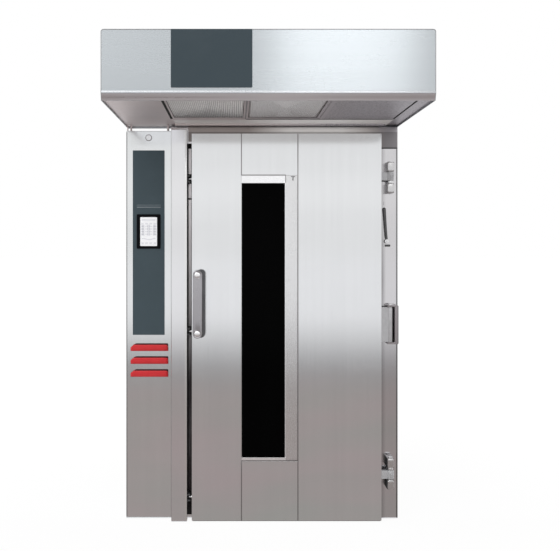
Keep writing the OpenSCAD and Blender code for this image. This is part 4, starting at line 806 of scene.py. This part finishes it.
def strip_below(x, y, z, drop):
    """A flat strip under the hood: a low rounded section across x, carried along y, or the other way round."""
    long_y = y[1] - y[0] > x[1] - x[0]
    half = ((x[1] - x[0]) if long_y else (y[1] - y[0])) / 2
    middle = ((x[0] + x[1]) / 2, (y[0] + y[1]) / 2)
    route = [(middle[0], y[0], z), (middle[0], y[1], z)] if long_y else [(x[0], middle[1], z), (x[1], middle[1], z)]
    rim_z, inset = -drop * 0.6, half * 0.9
    section = [(half, 0.0), (half, rim_z), (inset, -drop), (-inset, -drop), (-half, rim_z), (-half, 0.0)]
    return carried(route, section, (0, 0, 1))


# Dark strips in the gaps at either side of the filters are painted shade.
joints = [strip_below(x, filter_y, under_z, 0.0012) for x in ((-0.470, -0.458), (0.6535, 0.6625))]
skin("underside_gap_shade", gap_shade_black, "cabinet", *joints, slot="dark_steel")
fine_joints = [strip_below((-0.0930, -0.0890), filter_y, under_z, 0.0012),
               strip_below((-0.0890, 0.6520), (filter_y[1], filter_y[1] + 0.022), under_z, 0.0012)]
skin("underside_fine_joints", edge_grey, "cabinet", *fine_joints, slot="dark_steel")
seam_strip = brushed("seam strip", (0.72, 0.70, 0.70), 0.4)
skin("underside_seam_strip", seam_strip, "cabinet", strip_below((0.2850, 0.2970), filter_y, under_z, 0.0016),
     slot="hood_steel")
rear_trim_steel = Paint("rear trim", metallic=0.35, specular_ior_level=0.3)
trim_x = rear_trim_steel.axis(rear_trim_steel.place(), "X")
trim_wear = rear_trim_steel.noise(rear_trim_steel.place((3.0, 40.0, 40.0)), 1.0, 3.0)
# A lighter band across the trim's middle is a painted highlight.
trim_highlight = ((0.42 - abs(trim_x - 0.26)) * 3.6).clamped()
rear_trim_steel.set(base_color=rear_trim_steel.mix(trim_highlight, rear_trim_steel.mix(trim_wear, (0.62, 0.58, 0.56),
                    (0.72, 0.69, 0.67)), (0.97, 0.95, 0.93)), roughness=0.34 + trim_wear * 0.1)
skin("underside_rear_trim", rear_trim_steel, "cabinet",
     strip_below((filter_low.x, 0.662), (-0.492, -0.304), under_z, 0.0012), slot="hood_steel")

channel_alloy = brushed("cassette channel", (0.46, 0.45, 0.45), 0.42)
frame_section = [(0.0030, 0.0), (0.0036, 0.001), (0.0036, 0.019), (0.0030, 0.020), (-0.0030, 0.020),
                 (-0.0036, 0.019), (-0.0036, 0.001), (-0.0030, 0.0)]


def cassette(low, high):
    """The cassette's frame: a channel section carried round its rectangle, with mitred corners."""
    x, y = (low.x + 0.0036, high.x - 0.0036), (low.y + 0.0036, high.y - 0.0036)
    route = [(x[0], y[0], low.z), (x[1], y[0], low.z), (x[1], y[1], low.z), (x[0], y[1], low.z)]
    return carried(route, frame_section, (0, 0, 1), closed=True)


def pleats(low, high, count, depth, sway=0.0, bends=1):
    """A pleated sheet: across x the height goes up and down by the depth, count times, and along y each ridge
    sways to and fro by a triangle wave with so many bends."""
    x = np.linspace(low.x + 0.0125, high.x - 0.0125, 2 * count + 1)
    y = np.linspace(low.y + 0.008, high.y - 0.008, 2 * bends + 1)
    shift = sway * (1 - 2 * (np.arange(len(y)) % 2))
    ridge = low.z + 0.0008 + depth * (np.arange(len(x)) % 2)
    grid = np.empty((len(y), len(x), 3))
    grid[:, :, 0] = x + shift[:, None]
    grid[:, :, 1] = y[:, None]
    grid[:, :, 2] = ridge
    return grid, False


filter_alloy = brushed("first filter sheet", (0.96, 0.93, 0.91), 0.42)
filter_alloy.set(metallic=0.6)
mesh_alloy = brushed("second filter sheet", (0.60, 0.59, 0.59), 0.42)
cassettes = [("first_filter", "filter_left", filter_alloy, 0.45, 0.0, 1),
             ("second_filter", "filter_middle", mesh_alloy, 0.85, 0.0045, 18)]
for body, node, sheet_alloy, share, sway, bends in cassettes:
    low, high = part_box(node)
    # Each pleated sheet is darker higher up, deep in its folds: painted shade.
    groove_shade = ((sheet_alloy.axis(sheet_alloy.place(), "Z") - filter_low.z - 0.0024) / 0.0050).clamped()
    overlay(sheet_alloy, groove_shade * share, (0.10, 0.095, 0.095))
    skin(body + "_frame", channel_alloy, body, cassette(low, high), slot="filter_steel", standing_for=[node])
    skin(body + "_pleats", sheet_alloy, body, pleats(low, high, 39, 0.007, sway, bends), slot="filter_steel",
         wall=0.0008)

# Sign plate.
# A bare slate coloured plate, powder coated, fixed flat on the hood's front.

slate = painted("slate coating", (0.040, 0.059, 0.071), (0.048, 0.067, 0.079), 0.56)
slate.set(specular_ior_level=0.25)
dress(slate, "sign_plate", edge=0.001)

# Control column.
# A folded cabinet beside the door holds the switchgear. Its own door carries a slate overlay with the touchscreen,
# three red louvres and a quarter-turn lock.

column_steel = brushed("column steel", (0.765, 0.78, 0.80), 0.14)
dress(column_steel, "control_cabinet", edge=0.0006)
dress(column_steel, "control_door", edge=0.0015)
leaf_low, leaf_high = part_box("control_door")
leaf_edge = plate(rounded((leaf_low.x, leaf_low.x + 0.0045), (0.008, leaf_high.z - 0.006), 0.001, 3),
                  (leaf_low.y - 0.0006, leaf_low.y), 0.0003)
skin("column_edge", edge_grey, "column_door", leaf_edge)
# A grey strip in the gap between the column door and the latch post is painted shade.
post_gap_shade = plate(rounded((leaf_high.x + 0.0006, post_low.x), (0.004, leaf_high.z), 0.001, 3),
                  (leaf_low.y - 0.0006, leaf_low.y), 0.0003)
skin("post_gap_shade", dark_and_shaded_steel, "cabinet", post_gap_shade)
switch_plastic = painted("switchgear plastic", (0.30, 0.31, 0.32), (0.20, 0.20, 0.21), 0.5)
dress(switch_plastic, "switchgear", edge=0.001)
dress(grip_black, "cable_gland", edge=0.0005)
film = painted("overlay film", (0.050, 0.074, 0.088), (0.057, 0.083, 0.098), 0.5)
film.set(specular_ior_level=0.25)
dress(film, "control_overlay", edge=0.0005)
bezel, _ = mottled("black bezel", (0.001, 0.001, 0.002), (0.004, 0.004, 0.006), 0.3, 0.1, 300.0, 3.0,
                   specular_ior_level=0.05)
dress(bezel, "touchscreen", edge=0.0008)
screen_low, screen_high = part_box("touchscreen")
rule_z = screen_high.z + 0.0365
rule_grey = painted("printed rule", (0.24, 0.27, 0.29), (0.20, 0.23, 0.25), 0.5)
rules = [plate(rounded((screen_low.x, screen_high.x), (z, z + t), t / 3, 3), (-0.3002, -0.3000), 0.0001)
         for z, t in ((rule_z, 0.0035), (rule_z + 0.012, 0.0016))]
skin("overlay_rules", rule_grey, "column_door", *rules, slot="slate")

# Touchscreen display.
# A white liquid crystal display behind flush glass. It shows a plain page of pale cells: a heading bar, a grid of
# keys, a curve's field and a row of small buttons.

display = Paint("display", specular_ior_level=0.1, roughness=0.2, emission_strength=0.2)
page = display.place((1 / 0.0896, 1.0, 1 / 0.1536), origin=(0.6045 / 0.0896, 0.0, -1.4529 / 0.1536))
across, up = display.axis(page, "X") + 0.5, display.axis(page, "Z")


def cell(place, count, share):
    """One where a place lies inside one of so many equal cells, and 0 in the gaps between them."""
    return abs((place * count).repeat(1.0) - 0.5) < share / 2


gauge = cell(across, 3.0, 0.50) * (up > 0.36) * (up < 0.74)
keys = cell(across, 4.0, 0.70) * cell(up, 11.0, 0.60) * (up > 0.34) * (up < 0.82)
heading = (up > 0.88) * cell(across, 1.0, 0.80) * (up < 0.93)
field = abs(up - 0.24 - (across * 9.0).sine() * 0.02) < 0.020
buttons = cell(across, 4.0, 0.6) * (up > 0.06) * (up < 0.13)
curve = field * cell(across, 1.0, 0.84)
mark = (gauge * 0.35 + keys * 0.30 + heading * 0.35 + curve * 0.4 + buttons * 0.35).clamped()
page_white = display.mix(mark, (0.84, 0.84, 0.86), (0.40, 0.40, 0.45))
display.set(base_color=page_white, emission_color=page_white)
glass_outline = rounded((-0.6493, -0.5597), (1.4529, 1.6065), 0.003)
skin("display", display, "column_door", plate(glass_outline, (screen_low.y - 0.0006, screen_low.y), 0.0004),
     slot="screen_black")

# Louvres and lock.
# Three scoops pressed from sheet and enamelled red, open upwards, and a plain quarter-turn lock in a round
# escutcheon.

red, _ = mottled("red enamel", (0.58, 0.014, 0.020), (0.70, 0.022, 0.030), 0.38, 0.12, 24.0,
                 specular_ior_level=0.35, coat_weight=0.2, coat_roughness=0.2)
red.bump(red.noise(red.place(), 700.0, 2.0), 0.0001, 0.3)


def scoop(centre, half, height, depth):
    """A pressed louvre. Up its front the sheet leaves the panel as a quarter ellipse that ends in an upright lip.
    Towards its ends the depth dies away with a high power of the distance, and the lip comes down: along a straight
    slope at the left, and with a high power at the right."""
    u = np.linspace(-1, 1, 65)[:, None]
    t = np.linspace(0, 1.75, 15)[None, :]
    full = (1 - np.abs(u) ** 20) ** 0.5
    drop = 1 - 0.48 * np.clip((-u - 0.82) / 0.18, 0, 1) - 0.35 * np.clip(u, 0, 1) ** 30
    grid = np.empty((65, 15, 3))
    grid[:, :, 0] = centre[0] + half * u
    grid[:, :, 1] = centre[1] - depth * full * np.sin(np.minimum(t, np.pi / 2)) ** 0.7
    grid[:, :, 2] = centre[2] - height / 2 + height * drop * (1 - np.cos(t)) / (1 - math.cos(1.75))
    return grid, False


louvre_low, louvre_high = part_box("vent_louvres")
louvre_x = (louvre_low.x + louvre_high.x) / 2 + 0.004
louvre_half = (louvre_high.x - louvre_low.x) / 2 - 0.001
louvre_feet = np.linspace(louvre_low.z + 0.0205, louvre_low.z + 0.0205 + 2 * 0.069, 3)
scoops = [scoop((louvre_x, louvre_high.y - 0.001, z - 0.0022), louvre_half, 0.0345, 0.0185) for z in louvre_feet]
skin("louvre_scoops", red, "column_door", *scoops, wall=0.0018, slot="red", standing_for=["vent_louvres"])
# Dark red plates behind each scoop, showing above its lip, are painted shade inside its opening.
slit_shade_red = painted("louvre slit shade", (0.045, 0.002, 0.003), (0.09, 0.004, 0.006), 0.7)
slit_x = (louvre_x - louvre_half + 0.017, louvre_x + louvre_half)
slit_shades = [plate([(slit_x[0], z), (slit_x[1], z), (slit_x[1], z + 0.0170), (slit_x[1] - 0.004, z + 0.0205),
                (slit_x[0] + 0.012, z + 0.0205), (slit_x[0], z + 0.0130)],
               (louvre_high.y - 0.0012, louvre_high.y - 0.0001), 0.0003) for z in louvre_feet]
skin("louvre_slit_shades", slit_shade_red, "column_door", *slit_shades, slot="red")
dress(polished, "cabinet_lock", edge=0.0004)
lock_centre = (-0.60475, -0.2985, 2.031)
escutcheon = [(0.0135, 0.0), (0.0178, 0.0), (0.0178, 0.0012), (0.0168, 0.0022), (0.0142, 0.0022), (0.0135, 0.0014),
              (0.0135, 0.0)]
skin("lock_escutcheon", dark_and_shaded_steel, "column_door",
     turned(escutcheon, lock_centre, (0, -1, 0), 40))

# Door.
# An insulated leaf with brushed sheets on its front, a tall dark window, a ribbed lamp cover and a long lever handle
# that draws the latch bolts.

door_steel = brushed("door steel", (0.765, 0.775, 0.80), 0.14)
dress(door_steel, "door_left_panel", "door_middle_panels", "door_right_panel", edge=0.0015)
sheet_low, sheet_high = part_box("door_middle_panels")
trim_low, trim_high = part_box("window_trim")
left_seam, right_seam = ((x - 0.0028, x + 0.0028) for x in (sheet_low.x - 0.001, sheet_high.x + 0.001))
seam_spans = [(left_seam, (sheet_low.z + 0.002, trim_low.z - 0.001)),
              (left_seam, (trim_high.z + 0.001, sheet_high.z - 0.002)),
              (right_seam, (sheet_low.z + 0.002, sheet_high.z - 0.002)),
              ((trim_low.x + 0.001, trim_high.x + 0.0015), (trim_high.z + 0.0005, trim_high.z + 0.0060)),
              ((trim_high.x - 0.0025, trim_high.x + 0.0015), (trim_high.z - 0.0370, trim_high.z)),
              ((trim_low.x + 0.001, sheet_high.x - 0.002), (trim_low.z - 0.0015, trim_low.z + 0.0040))]
seams = [plate(rounded(x, z, 0.001, 3), (sheet_low.y - 0.0006, sheet_low.y), 0.0002) for x, z in seam_spans]
seam_seal = brushed("seam sealant", (0.33, 0.32, 0.325), 0.4)
skin("door_seams", seam_seal, "door", *seams)
dress(front_steel, "door_core")
pane, _ = mottled("smoked glass", (0.0004, 0.0004, 0.0004), (0.0012, 0.0012, 0.0013), 0.10, 0.10, 7.0,
                  stretch=(1.0, 1.0, 0.4), specular_ior_level=0.02, ior=1.45)
dress(pane, "window_panes", edge=0.0008)
trim_bright, _ = mottled("bright window trim", (0.88, 0.885, 0.90), (0.97, 0.97, 0.98), 0.16, 0.1, 1.0, 3.0,
                         stretch=(200.0, 200.0, 20.0), metallic=0.9, specular_ior_level=0.5)
dress(trim_bright, "window_trim", edge=0.0006)
ribbed = brushed("ribbed aluminium", (0.80, 0.80, 0.82), 0.26)
dress(ribbed, "lamp_cover")
clip_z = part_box("lamp_cover")[1].z
clip_spans = [((0.1590, 0.1640), (clip_z - 0.026, clip_z - 0.004)),
              ((0.1500, 0.1730), (clip_z - 0.007, clip_z - 0.003))]
clip = [plate(rounded(x, z, 0.0015, 4), (-0.3592, -0.3575), 0.0005) for x, z in clip_spans]
skin("cover_clip", edge_grey, "door", *clip)
lens, _ = mottled("lamp glass", (0.80, 0.78, 0.72), (0.90, 0.88, 0.82), 0.2, 0.2, 60.0, 3.0, specular_ior_level=0.5)
dress(lens, "door_lamp")
dress(rubber, "door_sweep")
dress(polished, "latch_bar", edge=0.0008)
core_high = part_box("door_core")[1]
pane_low, pane_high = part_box("window_panes")
inner_x, inner_z = (pane_low.x - 0.010, pane_high.x + 0.010), (pane_low.z - 0.010, pane_high.z + 0.010)
inner_route = [(inner_x[0], core_high.y, inner_z[0]), (inner_x[1], core_high.y, inner_z[0]),
               (inner_x[1], core_high.y, inner_z[1]), (inner_x[0], core_high.y, inner_z[1])]
inner_bar = [(0.014, -0.0002), (0.0135, 0.0014), (0.0125, 0.0020), (-0.0125, 0.0020), (-0.0135, 0.0014),
             (-0.014, -0.0002)]
skin("inner_window_frame", polished, "door", carried(inner_route, inner_bar, (0, 1, 0), closed=True))
inner_heads = [screw((x, core_high.y + 0.0018, z), (0, 1, 0))
               for x in inner_x for z in np.linspace(*inner_z, 7)[1:-1]]
skin("inner_frame_screws", bright_steel, "door", *inner_heads)

# Handle.
# A long flat lever of satin steel with round ends. Each end carries a polished domed cap in a satin ring, and stands
# on a turned post. The lower post goes through to the latch.

handle_low, handle_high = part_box("handle_lever")
handle_half = (handle_high.x - handle_low.x) / 2
handle_x = (handle_low.x + handle_high.x) / 2
handle_face = handle_low.y + 0.002
bar_back = handle_face + 0.012
satin = brushed("satin lever", (0.41, 0.40, 0.42), 0.28)
bar_outline = rounded((handle_low.x, handle_high.x), (handle_low.z, handle_high.z), handle_half - 0.0002, 17)
skin("lever_bar", satin, "handle", plate(bar_outline, (handle_face, bar_back), 0.0045),
     standing_for=["handle_lever"])
end_z = (handle_low.z + handle_half, handle_high.z - handle_half)
ring = [(0.0160, 0.0), (0.0222, 0.0), (0.0222, 0.0012), (0.0208, 0.0022), (0.0180, 0.0016), (0.0162, 0.0004),
        (0.0160, 0.0)]
rings = [turned(ring, (handle_x, handle_face, z), (0, -1, 0), 48) for z in end_z]
skin("lever_rings", satin, "handle", *rings)
dome = [(0.0, 0.0), (0.0158, 0.0), (0.0156, 0.0024), (0.0146, 0.0036), (0.0095, 0.0047), (0.0050, 0.0052),
        (0.0, 0.0053)]
caps = [turned(dome, (handle_x - 0.001, handle_face, z), (0, -1, 0), 48) for z in end_z]
# A dark plate behind the lever, showing to its right and above it, is a painted shadow of the lever on the door.
shadow_x = (handle_low.x + 0.0180, handle_high.x + 0.0150)
shadow = rounded(shadow_x, (handle_low.z + 0.003, handle_high.z + 0.004), 0.0225, 13)
shadow_paint = painted("lever shadow", (0.075, 0.075, 0.08), (0.12, 0.12, 0.125), 0.5)
skin("lever_shadow", shadow_paint, "handle", plate(shadow, (bar_back, bar_back + 0.008), 0.003),
     slot="dark_steel")
mirror_steel, fingers = mottled("mirror cap", (0.88, 0.88, 0.90), (0.95, 0.95, 0.96), 0.22, 0.08, 60.0, metallic=1.0)
mirror_steel.bump(fingers, 0.00003, 0.3)
skin("lever_caps", mirror_steel, "handle", *caps)
door_face = -0.3587
post_len = door_face - bar_back
post_profiles = [[(0.0, 0.0), (r + 0.004, 0.0), (r + 0.001, 0.004), (r, 0.008), (r, post_len - 0.006),
                  (r + 0.003, post_len - 0.002), (r + 0.003, post_len), (0.0, post_len)] for r in (0.017, 0.012)]
posts = [turned(profile, (handle_x, bar_back, z), (0, 1, 0), 36) for profile, z in zip(post_profiles, end_z)]
spindle = [(0.0, 0.0), (0.006, 0.0), (0.006, 0.015), (0.0, 0.015)]
posts.append(turned(spindle, (handle_x, door_face, end_z[0]), (0, 1, 0), 24))
skin("lever_posts", polished, "handle", *posts)

low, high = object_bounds()
